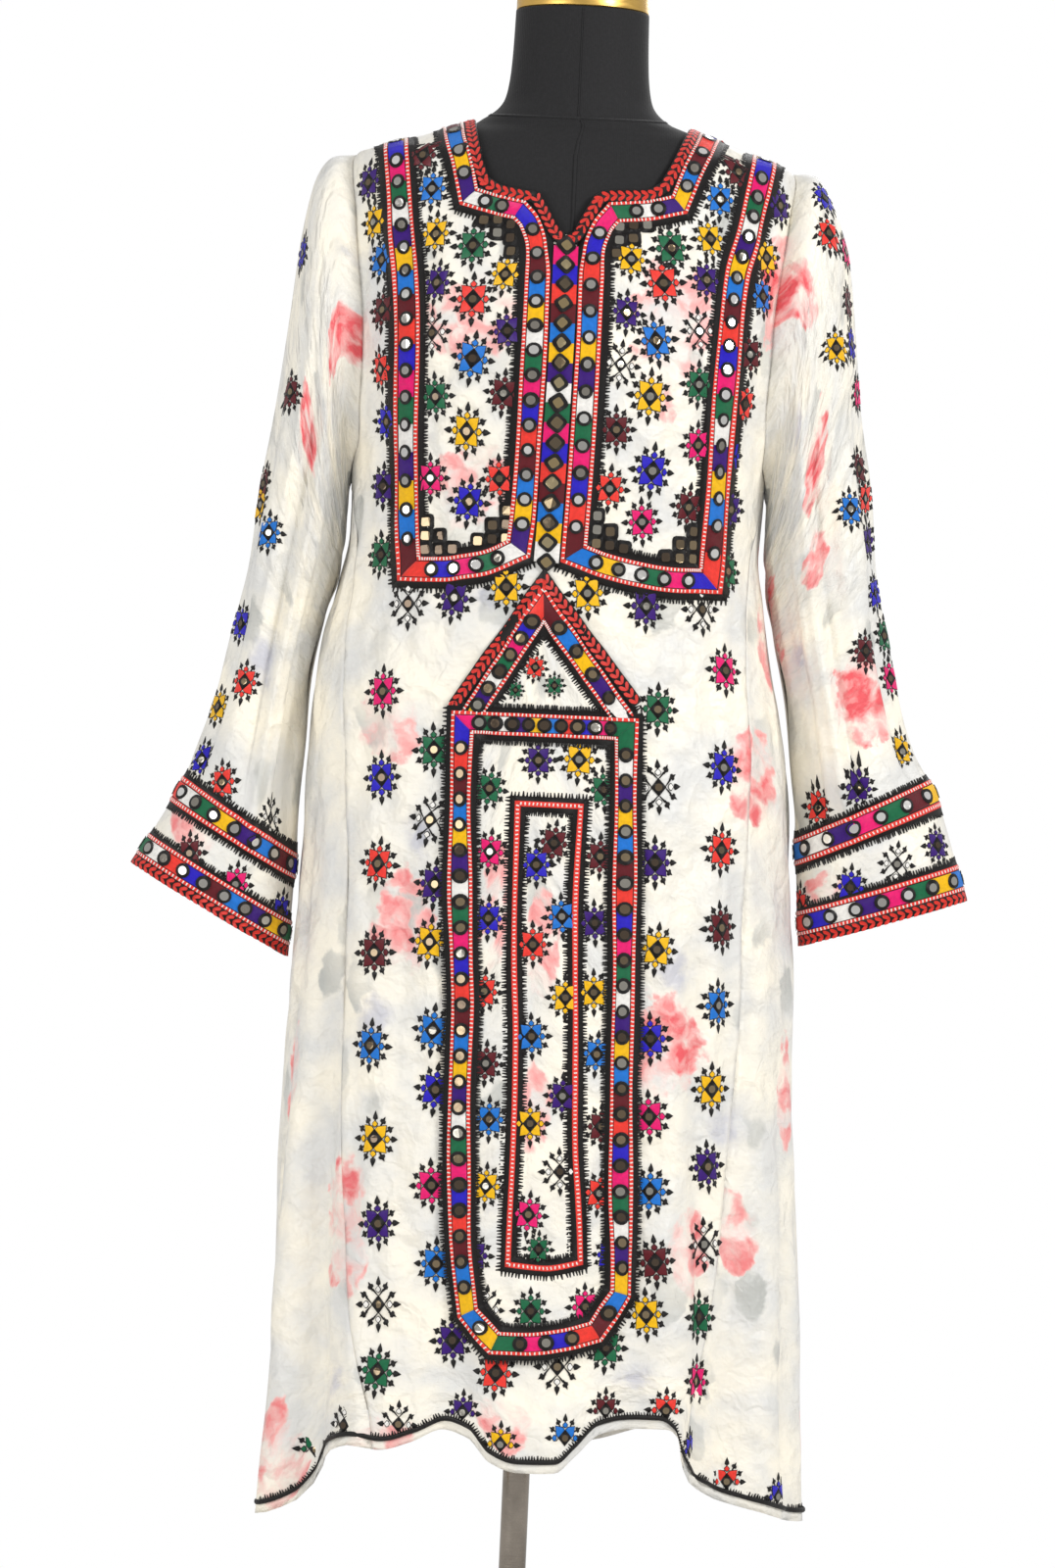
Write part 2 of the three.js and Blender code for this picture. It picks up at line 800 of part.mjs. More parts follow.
function addSleeve(hand, side, rows) {
  const section = curves(rows);
  const start = armhole(side);
  const angles = armholeAngles(start);
  const sleevePoint = (i, s) => {
    const point = sleeveSection(section, angles[i], s);
    if (s >= 1) return point;
    const shift = start[i].clone().sub(sleeveSection(section, angles[i], 0));
    return point.addScaledVector(shift, (1 - s) ** 2);
  };
  const grid = (places) => places.map((s) => start.map((_, i) => sleevePoint(i, s)));
  const shape = { ring: true, mirrored: side < 0 };
  add(`sleeve_${hand}`, wall(grid(SLEEVE_ROWS), { ...shape, inner: -CLOTH, outer: 0 }), silk);
  const trim = { ...shape, inner: LIFT, outer: LIFT + TRIM };
  add(`cuff_band_upper_${hand}`, wall(grid(UPPER_BAND_ROWS), trim), satin);
  add(`cuff_band_lower_${hand}`, wall(grid(LOWER_BAND_ROWS), trim), satin);
  add(`cuff_braid_${hand}`, wall(grid(CUFF_BRAID_ROWS), trim), braid);
}

// Left and right edge of a band along a line of points, with mitred corners.
function bandEdges(path, closed, across) {
  const dense = [];
  const count = path.length;
  for (let i = 0; i < (closed ? count : count - 1); i++) {
    const [a, b] = [path[i], path[(i + 1) % count]];
    dense.push(a);
    let last = dressPoint(...frontPlace(a.x, a.z));
    for (let t = FINE; t < 1; t += FINE) {
      const place = { x: lerp(a.x, b.x, t), z: lerp(a.z, b.z, t), width: lerp(a.width, b.width, t) };
      const here = dressPoint(...frontPlace(place.x, place.z));
      if (here.distanceTo(last) < (here.z > SHOULDER_BEND ? SHOULDER_STEP : BAND_STEP)) continue;
      dense.push(place);
      last = here;
    }
  }
  if (!closed) dense.push(path.at(-1));
  const size = dense.length;
  const at = (i) => dense[closed ? (i + size) % size : THREE.MathUtils.clamp(i, 0, size - 1)];
  const unit = (p, q) => new THREE.Vector2(q.x - p.x, q.z - p.z).normalize();
  return dense.map((p, i) => {
    let before = unit(at(i - 1), p);
    let after = unit(p, at(i + 1));
    if (before.lengthSq() === 0) before = after;
    if (after.lengthSq() === 0) after = before;
    const bisector = before.clone().add(after).normalize();
    const reach = p.width / 2 / Math.max(0.5, bisector.dot(after));
    const side = new THREE.Vector2(-bisector.y, bisector.x);
    const row = [];
    for (let c = 0; c <= across; c++) {
      const shift = reach * ((2 * c) / across - 1);
      row.push([p.x + side.x * shift, p.z + side.y * shift]);
    }
    return row;
  });
}

// Wall over a grid of places seen from the front, `lift` above the cloth.
function onFront(grid, lift, shape = {}) {
  const places = grid.map((row) => row.map(([x, z]) => frontPlace(x, z)));
  const each = (make) => places.map((row) => row.map(([deg, z]) => make(deg, z)));
  const points = each((deg, z) => dressPoint(deg, z));
  return wall(points, { ...shape, inner: lift, outer: lift + TRIM, normals: each(dressNormal) });
}

function bandOnFront(path, { closed = false, across = 1, lift = LIFT } = {}) {
  const rows = bandEdges(path, closed, across);
  if (!closed) return onFront(rows, lift);
  const turned = rows[0].map((_, c) => rows.map((row) => row[c]));
  return onFront(turned, lift, { ring: true, mirrored: true });
}

function addPocket() {
  const side = curves(POCKET_SIDES);
  const top = straight(POCKET_TOP, "share", "z");
  const bottom = straight(POCKET_BOTTOM, "share", "z");
  const grid = [];
  for (let r = 0; r <= POCKET_ROWS; r++)
    grid.push(
      POCKET_COLUMNS.map((share) => {
        const z = lerp(top(share), bottom(share), r / POCKET_ROWS);
        return [lerp(side.left(z), side.right(z), share), z];
      }),
    );
  add("pocket_panel", onFront(grid, LIFT), silk);
  const lift = 2 * LIFT + TRIM;
  add("pocket_braid", bandOnFront(POCKET_BRAID, { lift }), braid);
  add("pocket_peak_band", bandOnFront(PEAK, { lift }), satin);
  add("pocket_frame_band", bandOnFront(FRAME, { closed: true, lift }), satin);
  add("pocket_inner_line", bandOnFront(INNER_LINE, { closed: true, lift }), satin);
}

// Line that runs beside the neckline at a distance from it.
function besideNeck(distance) {
  return FRONT_NECK.map((p, i) => {
    const a = FRONT_NECK[Math.max(0, i - 1)];
    const b = FRONT_NECK[Math.min(FRONT_NECK.length - 1, i + 1)];
    const along = new THREE.Vector2(b.x - a.x, b.z - a.z).normalize();
    return { x: p.x + along.y * distance, z: p.z - along.x * distance, width: BRAID_WIDTH };
  });
}

function addYoke() {
  add("bib_band_left", bandOnFront(BIB_LEFT, { across: 2 }), satin);
  add("bib_band_right", bandOnFront(BIB_RIGHT, { across: 2 }), satin);
  add("centre_band", bandOnFront(CENTRE), satin);
  add("neck_braid", bandOnFront(besideNeck(BRAID_WIDTH / 2 + SEAM)), braid);
}

// Solid of level oval rings, closed at its top and bottom.
function loft(rings) {
  const points = rings.flat();
  const sides = rings[0].length;
  const faces = [];
  for (let r = 0; r < rings.length - 1; r++)
    for (let c = 0; c < sides; c++) {
      const [a, b] = [r * sides + c, r * sides + ((c + 1) % sides)];
      faces.push(a, b, a + sides, b, b + sides, a + sides);
    }
  for (const [ring, first] of [[rings[0], 0], [rings.at(-1), points.length - sides]]) {
    const middle = ring.reduce((sum, p) => sum.add(p), vec(0, 0, 0)).divideScalar(sides);
    points.push(middle);
    for (let c = 0; c < sides; c++) {
      const [a, b] = [first + c, first + ((c + 1) % sides)];
      faces.push(...(first === 0 ? [b, a, points.length - 1] : [a, b, points.length - 1]));
    }
  }
  const geometry = new THREE.BufferGeometry().setFromPoints(points);
  geometry.setIndex(faces);
  return geometry;
}

function addStand() {
  const shoulder = FORM_SHOULDER.map((z) => ({
    z: z - SHOULDER_DROP,
    centre: body.centre(z),
    half: body.half(z) - (z < SHOULDER_TIP ? 4 : 0),
    front: body.front(z) - CLOTH - 1,
    back: body.back(z) - CLOTH - 1,
  }));
  const rows = [...FORM_TORSO, ...shoulder, ...FORM_NECK];
  const form = curves(rows);
  const rings = rows.map(({ z }) =>
    Array.from({ length: FORM_SIDES }, (_, i) => ovalPoint(form, (360 * i) / FORM_SIDES, z, 0)),
  );
  add("form_torso", loft(rings), { color: JERSEY, roughness: 0.9 });

  const turned = (profile, segments) => {
    const points = profile.map(([r, z]) => new THREE.Vector2(r, z));
    return new THREE.LatheGeometry(points, segments).rotateX(Math.PI / 2);
  };
  const capFoot = NECK_TOP + SEAM;
  const cap = [
    [0, capFoot],
    [CAP_RADIUS - 1, capFoot],
    [CAP_RADIUS, capFoot + 1],
    [CAP_RADIUS, capFoot + 13],
    [CAP_RADIUS - 2, capFoot + 15],
    [30, capFoot + 19],
    [12, capFoot + 21],
    [9, capFoot + 27],
    [13, capFoot + 34],
    [9, capFoot + 41],
    [0, capFoot + 43],
  ];
  add("neck_cap", turned(cap, 24).translate(1, 0, 0), { color: BRASS, roughness: 0.3, metalness: 1 });
  const pole = new THREE.CylinderGeometry(
    POLE_RADIUS,
    POLE_RADIUS,
    TORSO_BOTTOM - HUB_HEIGHT - 2 * SEAM,
    28,
  );
  pole.rotateX(Math.PI / 2).translate(0, 0, (TORSO_BOTTOM + HUB_HEIGHT) / 2);
  add("pole", pole, { color: STEEL, roughness: 0.25, metalness: 1 });
  const base = [
    [0, 0],
    [BASE_RADIUS - 2, 0],
    [BASE_RADIUS, 2],
    [BASE_RADIUS, BASE_HEIGHT - 3],
    [BASE_RADIUS - 3, BASE_HEIGHT],
    [HUB_RADIUS + 10, BASE_HEIGHT + 4],
    [HUB_RADIUS, BASE_HEIGHT + 12],
    [HUB_RADIUS, HUB_HEIGHT - 2],
    [HUB_RADIUS - 2, HUB_HEIGHT],
    [0, HUB_HEIGHT],
  ];
  add("base", turned(base, 36), { color: STEEL, roughness: 0.35, metalness: 1 });
}

addPanels();
addSleeve("left", -1, SLEEVE_LEFT);
addSleeve("right", 1, SLEEVE_RIGHT);
addYoke();
addPocket();
addStand();

export default dress;
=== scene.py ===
"""A kuchi dress on a dress form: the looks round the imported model.

The surfaces of the dress and of its sleeves are written once, in millimetres. Every panel, band,
stitch and mirror is laid on them, so the embroidery follows each fold.
"""

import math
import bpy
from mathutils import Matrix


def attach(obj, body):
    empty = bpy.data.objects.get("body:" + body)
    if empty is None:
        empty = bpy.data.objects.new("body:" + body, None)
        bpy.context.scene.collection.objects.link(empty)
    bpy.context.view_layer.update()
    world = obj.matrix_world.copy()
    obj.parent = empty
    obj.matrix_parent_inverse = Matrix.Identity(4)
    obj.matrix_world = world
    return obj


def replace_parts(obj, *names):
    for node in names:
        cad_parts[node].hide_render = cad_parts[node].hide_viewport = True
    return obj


bl_info = {
    "name": "Kuchi Dress",
    "version": (1, 0, 0),
    "blender": (4, 5, 0),
    "location": "3D View > Sidebar > Kuchi Dress",
    "description": "Builds an embroidered kuchi dress on its dress form",
    "category": "Object",
}

import bmesh
import bpy
import numpy as np
from bpy.props import FloatProperty, FloatVectorProperty, PointerProperty
from mathutils import Matrix, Vector

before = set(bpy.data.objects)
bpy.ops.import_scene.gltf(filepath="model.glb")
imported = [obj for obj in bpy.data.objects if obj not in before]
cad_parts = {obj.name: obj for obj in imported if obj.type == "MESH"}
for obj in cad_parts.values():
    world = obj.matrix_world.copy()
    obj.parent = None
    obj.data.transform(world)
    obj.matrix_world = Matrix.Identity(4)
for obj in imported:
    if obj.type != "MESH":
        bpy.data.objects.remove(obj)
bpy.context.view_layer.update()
BODY_NAME = "root"
MM = 0.001

# Sizes that the part's source has too, in millimetres
ROUNDNESS = 0.9
UNDERARM = 1126
SHOULDER_TIP = 1392
PANEL_TOP = 1420
HEM_ZONE = 420
FOLD_FULL = 330
TORSO_BOTTOM = 690
NECK_TOP = 1514
SHOULDER_DROP = 2.8
FORM_SHOULDER = (1391, 1399, 1406, 1413, 1420)
LAST_SECTION = 14
ARMHOLE_STEPS = 60

# Outer face of the dress in level sections: height, sideways centre, half width, depth before, depth behind.
BODY = (
    (280, 8, 221, 154, 145), (400, 7, 215, 150, 141), (500, 6, 213, 147, 138), (600, 4, 209, 144, 135),
    (700, 3, 206, 142, 132), (800, 2, 200, 139, 130), (900, 0, 195, 132, 121),
    (950, -4, 190, 126, 112), (1000, -6, 181, 122, 103), (1040, -4, 173, 120.5, 97),
    (1080, -3, 167, 121, 94), (1130, -2, 168, 124, 94), (1180, -1, 172, 128, 97),
    (1210, 0, 175, 129, 100), (1240, 0, 178, 125, 102), (1280, 0, 181, 114, 102),
    (1320, 0, 183, 101, 98), (1350, 0, 184, 92, 92), (1375, 0, 183, 85, 82),
    (1386, 0, 180.5, 82, 77.5), (1392, 0, 177, 80, 74.5), (1399, 1, 156.5, 77, 69),
    (1406, 2, 135, 73.5, 64), (1413, 4, 114, 70, 60), (1420, 5, 93, 66, 56),
)
# Where the front panel ends to each side: height, degrees round the section.
SEAM_LINE = (
    (280, 33.5), (346, 34), (465, 43), (630, 49.5), (800, 53.2), (957, 59.5), (1060, 70), (1105, 80),
    (UNDERARM, 88), (1150, 78), (1180, 73), (1215, 70), (1260, 68.5), (1310, 70), (1350, 74),
    (1378, 81), (SHOULDER_TIP, 90), (1420, 90),
)
# Hem of the cloth as hung: degrees from the front centre, height.
HEM = (
    (-90, 303), (-76, 292), (-68, 288), (-59, 301), (-52, 332), (-46, 346), (-39, 352), (-32.6, 350),
    (-25, 358), (-18, 369), (-12.7, 364), (-7.9, 346), (-2, 339), (5.8, 340), (9.7, 352), (15, 371),
    (22, 376), (28.3, 377), (31.4, 370), (33.8, 346), (38.7, 330), (51.8, 314), (77.7, 298), (90, 300),
    (110, 318), (130, 345), (150, 352), (165, 338), (180, 330), (195, 340), (210, 356), (230, 350),
    (250, 322), (262, 312), (270, 303),
)
# Long folds that fall to the hem: degrees, depth, half width in degrees, height where the fold starts.
FOLDS = (
    (-80, -8, 7, 700), (-68, 13, 7, 800), (-54, -13, 7, 900), (-38, 8, 7, 800), (-19, -7, 9, 640),
    (0, 6, 9, 600), (20, -8, 8, 660), (32, 11, 6, 820), (46, -13, 8, 900), (60, 8, 7, 780),
    (76, 11, 7, 690), (96, -10, 9, 700), (114, 11, 8, 880), (130, -13, 9, 920), (147, 11, 8, 860),
    (163, -11, 8, 900), (180, 10, 9, 840), (198, -11, 8, 900), (214, 11, 8, 860), (231, -13, 8, 900),
    (247, 11, 8, 820), (262, -10, 8, 700),
)
# Necklines as seen from the front: x, z.
FRONT_NECK = (
    (-83, 1421), (-80, 1404), (-75, 1384), (-69, 1368), (-60, 1363), (-40, 1359), (-28, 1357),
    (-20, 1344), (-12, 1330), (-5, 1321), (1, 1326), (8, 1339), (17, 1356), (25, 1361), (60, 1364),
    (70, 1370), (78, 1386), (86, 1404), (93, 1421),
)
BACK_NECK = (
    (-83, 1421), (-66, 1409), (-35, 1401), (5, 1398), (45, 1401), (76, 1409), (93, 1421),
)
# Sleeves in sections from the armhole (0) to the cuff (14):
# section, outer x, outer z, inner x, inner z, depth.
SLEEVE_LEFT = (
    (0, -179, 1393, -170, 1126, 52), (1, -197, 1388, -172, 1117, 55),
    (2, -212, 1367, -172.5, 1106, 56), (3, -220, 1320, -173, 1094, 57),
    (4, -226, 1262, -174, 1078, 56), (5, -232, 1205, -176, 1062, 54), (6, -240, 1140, -180, 1042, 52),
    (7, -248, 1080, -187, 1016, 50), (8, -256, 1020, -193.5, 985, 48), (9, -268, 965, -198.5, 940, 47),
    (10, -284, 910, -200.5, 880, 46), (11, -296, 878, -202, 819, 45), (12, -306, 857, -203, 798, 44),
    (13, -322, 830, -204.5, 764, 42), (14, -336, 806, -206, 735, 38),
)
SLEEVE_RIGHT = (
    (0, 179, 1393, 166, 1126, 52), (1, 196, 1390, 168.5, 1117, 55), (2, 213, 1368, 168.5, 1106, 56),
    (3, 227, 1320, 168.5, 1093, 57), (4, 235, 1262, 169, 1078, 56), (5, 241, 1205, 171, 1062, 54),
    (6, 250, 1148, 174, 1042, 52), (7, 258, 1090, 179, 1015, 50), (8, 266, 1035, 186, 985, 48),
    (9, 281, 972, 195, 938, 47), (10, 300, 918, 202, 878, 46), (11, 311, 902, 204, 849, 45),
    (12, 321, 880, 206, 827, 44), (13, 337, 834, 209, 790, 42), (14, 346, 805, 211.5, 762, 38),
)
# Long folds of a sleeve: degrees round it, depth, half width, first and last section.
SLEEVE_FOLDS = (
    (38, -5, 16, 2, 12), (66, 4, 15, 1.5, 11), (98, -5, 14, 2.5, 10), (130, 3.5, 14, 2, 9),
    (158, -3, 12, 4, 11), (212, 4, 15, 2, 11), (245, -5, 16, 2, 12), (280, 4, 15, 2, 10),
    (315, -4, 15, 3, 12),
)
# Centre lines of the embroidered bands as seen from the front: x, z, width.
BIB_LEFT = (
    (-148, 1415, 20), (-143, 1378, 20), (-137.5, 1330, 20), (-132, 1290, 20), (-129, 1250, 20),
    (-127, 1200, 20), (-125, 1150, 20), (-122, 1100, 20), (-118, 1052, 20), (-105, 1052, 20),
    (-90, 1052.5, 20), (-75, 1055, 20), (-60, 1058, 20), (-31.4, 1071, 20), (-29, 1100, 20),
    (-27.5, 1150, 20), (-26.5, 1200, 20), (-26, 1250, 20), (-26, 1290, 20), (-28, 1314, 17),
    (-34.5, 1333, 17), (-43, 1343, 17), (-60, 1346.5, 17), (-84, 1353, 17), (-91.5, 1384, 17),
    (-97.5, 1402, 17), (-101.5, 1425, 17),
)
BIB_RIGHT = (
    (156, 1412, 20), (150, 1378, 20), (142, 1335, 20), (134, 1300, 20), (130, 1250, 20),
    (128, 1200, 20), (126, 1150, 20), (125, 1100, 20), (123, 1053, 20), (109, 1052.5, 20),
    (95, 1052, 20), (80, 1053, 20), (65, 1055, 20), (40, 1060, 20), (12.6, 1069, 20), (13.8, 1100, 20),
    (15.4, 1150, 20), (16.4, 1200, 20), (17, 1250, 20), (17, 1290, 20), (18, 1312, 17),
    (23.5, 1331, 17), (33, 1344.5, 17), (60, 1347.5, 17), (85, 1354, 17), (95.5, 1384, 17),
    (103.5, 1402, 17), (111.5, 1425, 17),
)
CENTRE = (
    (-4.2, 1315, 22), (-4.5, 1250, 22), (-5.1, 1200, 22), (-6.1, 1150, 22), (-7.6, 1100, 22),
    (-9, 1061, 22),
)
# Sides of the pocket panel: height, left x, right x.
POCKET_SIDES = (
    (430, -48, 70), (480, -58, 88), (520, -64, 86), (560, -66, 83), (600, -68, 81), (640, -69, 79.5),
    (700, -69.5, 78), (740, -72, 77), (800, -76, 75), (860, -79, 73), (940, -80, 71),
)
POCKET_BRAID = (
    (-77, 944, 7), (-9.9, 1048, 7), (68.3, 951, 7),
)
PEAK = (
    (-66, 931, 17), (-10, 1027, 17), (59, 937, 17),
)
FRAME = (
    (-69, 930.5, 18), (-68, 860, 18), (-65.5, 800, 18), (-61.5, 740, 18), (-59, 700, 18),
    (-58.5, 640, 18), (-57.5, 600, 18), (-55.5, 560, 18), (-53, 520, 18), (-44, 463, 18),
    (-22, 440.5, 18), (4, 441, 18), (30, 445, 18), (57, 452.5, 18), (76, 483, 18), (75, 520, 18),
    (72.5, 560, 18), (70.5, 600, 18), (69, 640, 18), (67.5, 700, 18), (66.5, 740, 18), (64.5, 800, 18),
    (62.5, 860, 18), (60.5, 930.5, 18),
)
INNER_LINE = (
    (-23, 868, 7), (-22, 800, 7), (-20, 740, 7), (-16.5, 680, 7), (-15, 620, 7), (-15, 560, 7),
    (-14, 503, 7), (14, 501, 7), (42, 507, 7), (38, 560, 7), (34.5, 600, 7), (32, 650, 7),
    (30, 700, 7), (28, 740, 7), (26, 800, 7), (27, 868, 7),
)
# Torso of the dress form and its neck, in the same columns as BODY.
FORM_TORSO = (
    (TORSO_BOTTOM, 0, 150, 98, 100), (702, 0, 163, 108, 110), (760, 0, 168, 113, 114),
    (860, 0, 168, 114, 112), (940, -2, 155, 104, 99), (1030, -3, 130, 92, 80), (1100, -2, 138, 99, 82),
    (1170, 0, 150, 112, 88), (1215, 0, 156, 119, 92), (1270, 0, 159, 110, 94), (1310, 0, 162, 99, 91),
    (1345, 0, 166, 88.5, 86), (1370, 0, 171, 81.5, 78),
)
FORM_NECK = (
    (1421, 3, 84, 63.5, 54), (1424.5, 1, 77, 62, 54), (1430, 1, 69, 61, 54), (1435, 1, 64, 59.5, 54),
    (1441, 1, 60.5, 58, 54), (1450, 1, 58.2, 57, 54), (1465, 1, 56.3, 56, 54), (1485, 1, 55.2, 55, 54),
    (NECK_TOP, 1, 54.4, 54, 54),
)
# Star motifs as seen from the front: x, z, thread, share of the usual size.
YOKE_MOTIFS = (
    (-166, 1365, "purple"), (-160, 1332, "yellow"), (-152, 1301, "sky"), (-149, 1260, "maroon"),
    (-148, 1212, "red"), (-142, 1170, "blue"), (-142, 1118, "purple"), (-142, 1063, "green"),
    (-123, 1387, "maroon"), (-114, 1359, "sky"), (-109, 1322, "yellow"), (-79, 1313, "green", 1.1),
    (-52, 1290, "yellow"), (-106, 1282, "purple"), (-77, 1269, "red", 1.15), (-48, 1244, "purple"),
    (-108, 1241, "white"), (-75, 1221, "sky", 1.15), (-103, 1190, "green"), (-49, 1194, "maroon"),
    (-77, 1163, "yellow", 1.15), (-104, 1125, "magenta"), (-49, 1126, "red"), (-73, 1107, "blue", 1.1),
    (132, 1385, "maroon"), (118, 1361, "sky"), (111, 1328, "yellow"), (80, 1318, "green", 1.1),
    (48, 1307, "yellow"), (109, 1294, "purple"), (75, 1289, "red", 1.15), (46, 1263, "purple"),
    (105, 1252, "white"), (71, 1242, "sky", 1.15), (43, 1221, "white"), (106, 1209, "green"),
    (68, 1197, "yellow", 1.15), (42, 1169, "maroon"), (108, 1161, "magenta"), (72, 1138, "blue", 1.15),
    (39, 1122, "red"), (103, 1111, "maroon"), (66, 1097, "magenta"), (167, 1361, "purple"),
    (158, 1317, "yellow"), (155, 1285, "sky"), (147, 1237, "maroon"), (144, 1197, "red"),
    (134, 1154, "blue"), (138, 1112, "purple"), (137, 1062, "green"),
)
SKIRT_MOTIFS = (
    (-118, 1024, "white"), (-81, 1030, "purple"), (-40, 1040, "yellow"), (25, 1038, "yellow"),
    (72, 1030, "purple"), (117, 1030, "white"), (-135, 953, "magenta"), (-133, 884, "blue"),
    (-132, 815, "red"), (-132, 744, "maroon"), (-131, 670, "sky"), (-124, 596, "yellow"),
    (-118, 529, "purple"), (-115, 465, "white"), (-113, 412, "green"), (138, 982, "magenta"),
    (140, 904, "blue"), (141, 838, "red"), (143, 776, "maroon"), (144, 714, "sky"), (143, 647, "yellow"),
    (143, 585, "purple"), (144, 523, "white"), (142, 465, "green"), (141, 414, "magenta"),
    (-92, 908, "green"), (-92, 852, "white"), (-86, 801, "purple"), (-88, 755, "yellow"), (-82, 685, "sky"),
    (-78, 638, "blue"), (-78, 562, "magenta"), (-72, 500, "sky"), (-57, 440, "purple"), (-20, 417, "red"),
    (28, 424, "white"), (67, 440, "green"), (85, 948, "green"), (88, 886, "white"), (88, 826, "purple"),
    (92, 757, "yellow"), (90, 686, "blue"), (92, 624, "magenta"), (95, 565, "sky"), (101, 509, "maroon"),
    (97, 467, "yellow"),
)
POCKET_MOTIFS = (
    (-14, 977, "red", 0.7), (2, 963, "green", 0.6), (-29, 958, "green", 0.5), (-8, 903, "purple"),
    (24, 905, "yellow", 1.1), (-46, 879, "green"), (-43, 829, "magenta"), (-42, 776, "blue"),
    (-43, 718, "red"), (-39, 661, "maroon"), (-34, 617, "sky"), (-34, 564, "yellow"), (-41, 509, "purple"),
    (-30, 467, "white"), (5, 467, "green"), (48, 472, "magenta"), (65, 513, "blue", 0.9), (44, 882, "green"),
    (44, 829, "maroon"), (42, 776, "purple"), (44, 721, "yellow"), (48, 672, "sky"), (54, 615, "maroon"),
    (55, 562, "red"), (7, 838, "maroon"), (-6, 820, "blue"), (16, 780, "sky"), (-6, 757, "red"),
    (21, 716, "yellow"), (-4, 684, "sky"), (23, 638, "purple"), (-2, 615, "yellow"), (23, 578, "white"),
    (0, 543, "magenta"), (9, 516, "green", 0.8),
)
SLEEVE_MOTIFS = {
    "left": (
        (-218, 1308, "blue"), (-221, 1191, "maroon"), (-242, 1119, "maroon"), (-233, 1077, "sky"),
        (-247, 1106, "yellow"), (-249, 956, "red"), (-256, 1005, "blue"), (-273, 937, "yellow"),
        (-263, 874, "red"), (-284, 893, "blue"), (-221, 846, "white"), (-287, 816, "maroon"),
        (-249, 792, "magenta"), (-212, 771, "blue"),
    ),
    "right": (
        (204, 1372, "blue"), (208, 1340, "red"), (224, 1330, "magenta"), (227, 1287, "maroon"),
        (217, 1246, "yellow"), (231, 1253, "blue"), (238, 1214, "magenta"), (242, 1154, "maroon"),
        (234, 1117, "sky"), (249, 1130, "red"), (254, 1095, "purple"), (260, 1053, "blue"),
        (252, 1004, "maroon"), (268, 1018, "green"), (276, 984, "magenta"), (291, 925, "yellow"),
        (252, 892, "purple"), (217, 873, "red"), (319, 849, "purple"), (286, 832, "white"),
        (249, 812, "blue"), (210, 795, "red"),
    ),
}
# Half motifs along the hem: x, thread.
HEM_MOTIFS = (
    (-205, "purple"), (-170, "green"), (-136, "white"), (-96, "white"), (-46, "purple"), (-14, "yellow"),
    (36, "sky"), (69, "maroon"), (113, "red"), (134, "blue"), (171, "red"), (200, "blue"),
)


def srgb(code):
    """Linear colour of an sRGB hex value."""
    parts = [int(code[i : i + 2], 16) / 255 for i in (1, 3, 5)]
    return tuple(c / 12.92 if c <= 0.04045 else ((c + 0.055) / 1.055) ** 2.4 for c in parts)


def curve(rows, column, key=0):
    """Smooth curve through a table's rows, with no overshoot, for arrays."""
    at = np.array([row[key] for row in rows], float)
    value = np.array([row[column] for row in rows], float)
    slope = np.diff(value) / np.diff(at)
    tangent = np.concatenate([slope[:1], np.zeros(len(slope) - 1), slope[-1:]])
    product = slope[:-1] * slope[1:]
    total = np.where(product > 0, slope[:-1] + slope[1:], 1.0)
    tangent[1:-1] = np.where(product > 0, 2 * product / total, 0)

    def read(where):
        x = np.clip(where, at[0], at[-1])
        i = np.clip(np.searchsorted(at, x) - 1, 0, len(slope) - 1)
        h = at[i + 1] - at[i]
        t = (x - at[i]) / h
        near = (1 + 2 * t) * (1 - t) ** 2 * value[i] + t * (1 - t) ** 2 * h * tangent[i]
        return near + t * t * (3 - 2 * t) * value[i + 1] + t * t * (t - 1) * h * tangent[i + 1]

    return read


def smooth_step(x, low, high):
    t = np.clip((x - low) / (high - low), 0, 1)
    return t * t * (3 - 2 * t)


def around(deg):
    """The same angle between -180 and 180."""
    return np.mod(deg + 180, 360) - 180


def unit(vectors):
    return vectors / np.maximum(np.linalg.norm(vectors, axis=-1, keepdims=True), 1e-12)


body = [curve(BODY, column) for column in range(1, 5)]
seam_line = curve(SEAM_LINE, 1)
hem_curve = curve(HEM, 1)


def hem(deg):
    return hem_curve(np.mod(np.asarray(deg, float) + 90, 360) - 90)


def oval_point(section, deg, z, out=0.0):
    """Point of a level oval section, moved out along the section's own normal."""
    deg, z = np.broadcast_arrays(np.asarray(deg, float), np.asarray(z, float))
    sin, cos = np.sin(np.radians(deg)), np.cos(np.radians(deg))
    half = section[1](z)
    depth = np.where(cos > 0, section[2](z), section[3](z))
    normal = unit(np.stack([sin / half, -cos / depth], -1))
    y = -depth * np.sign(cos) * np.abs(cos) ** ROUNDNESS
    x = section[0](z) + half * sin + normal[..., 0] * out
    return np.stack([x, y + normal[..., 1] * out, z + 0 * x], -1)


def soft_folds(seed, count, low, high):
    """Narrow soft folds all round the skirt: degrees, depth, half width, starting height."""
    rng = np.random.default_rng(seed)
    rows = []
    for i in range(count):
        deg = 360 * (i + rng.uniform(-0.35, 0.35)) / count - 180
        depth = rng.uniform(low, high) * (1 if i % 2 else -1)
        if abs(deg) < FRONT_STIFF:
            depth *= FRONT_STIFF_SHARE
        rows.append((deg, depth, rng.uniform(1.9, 3.6), rng.uniform(800, 1040)))
    return rows


def ripples(seed, count, low, high):
    """Waves that wrinkle the cloth: steps round, steps down, phase, share of the depth."""
    rng = np.random.default_rng(seed)
    waves = []
    for _ in range(count):
        angle = rng.uniform(-0.5, 0.5)
        step = 2 * math.pi / rng.uniform(low, high)
        waves.append((step * math.cos(angle), step * math.sin(angle), rng.uniform(0, 6.28), 1 / count**0.5))
    return waves


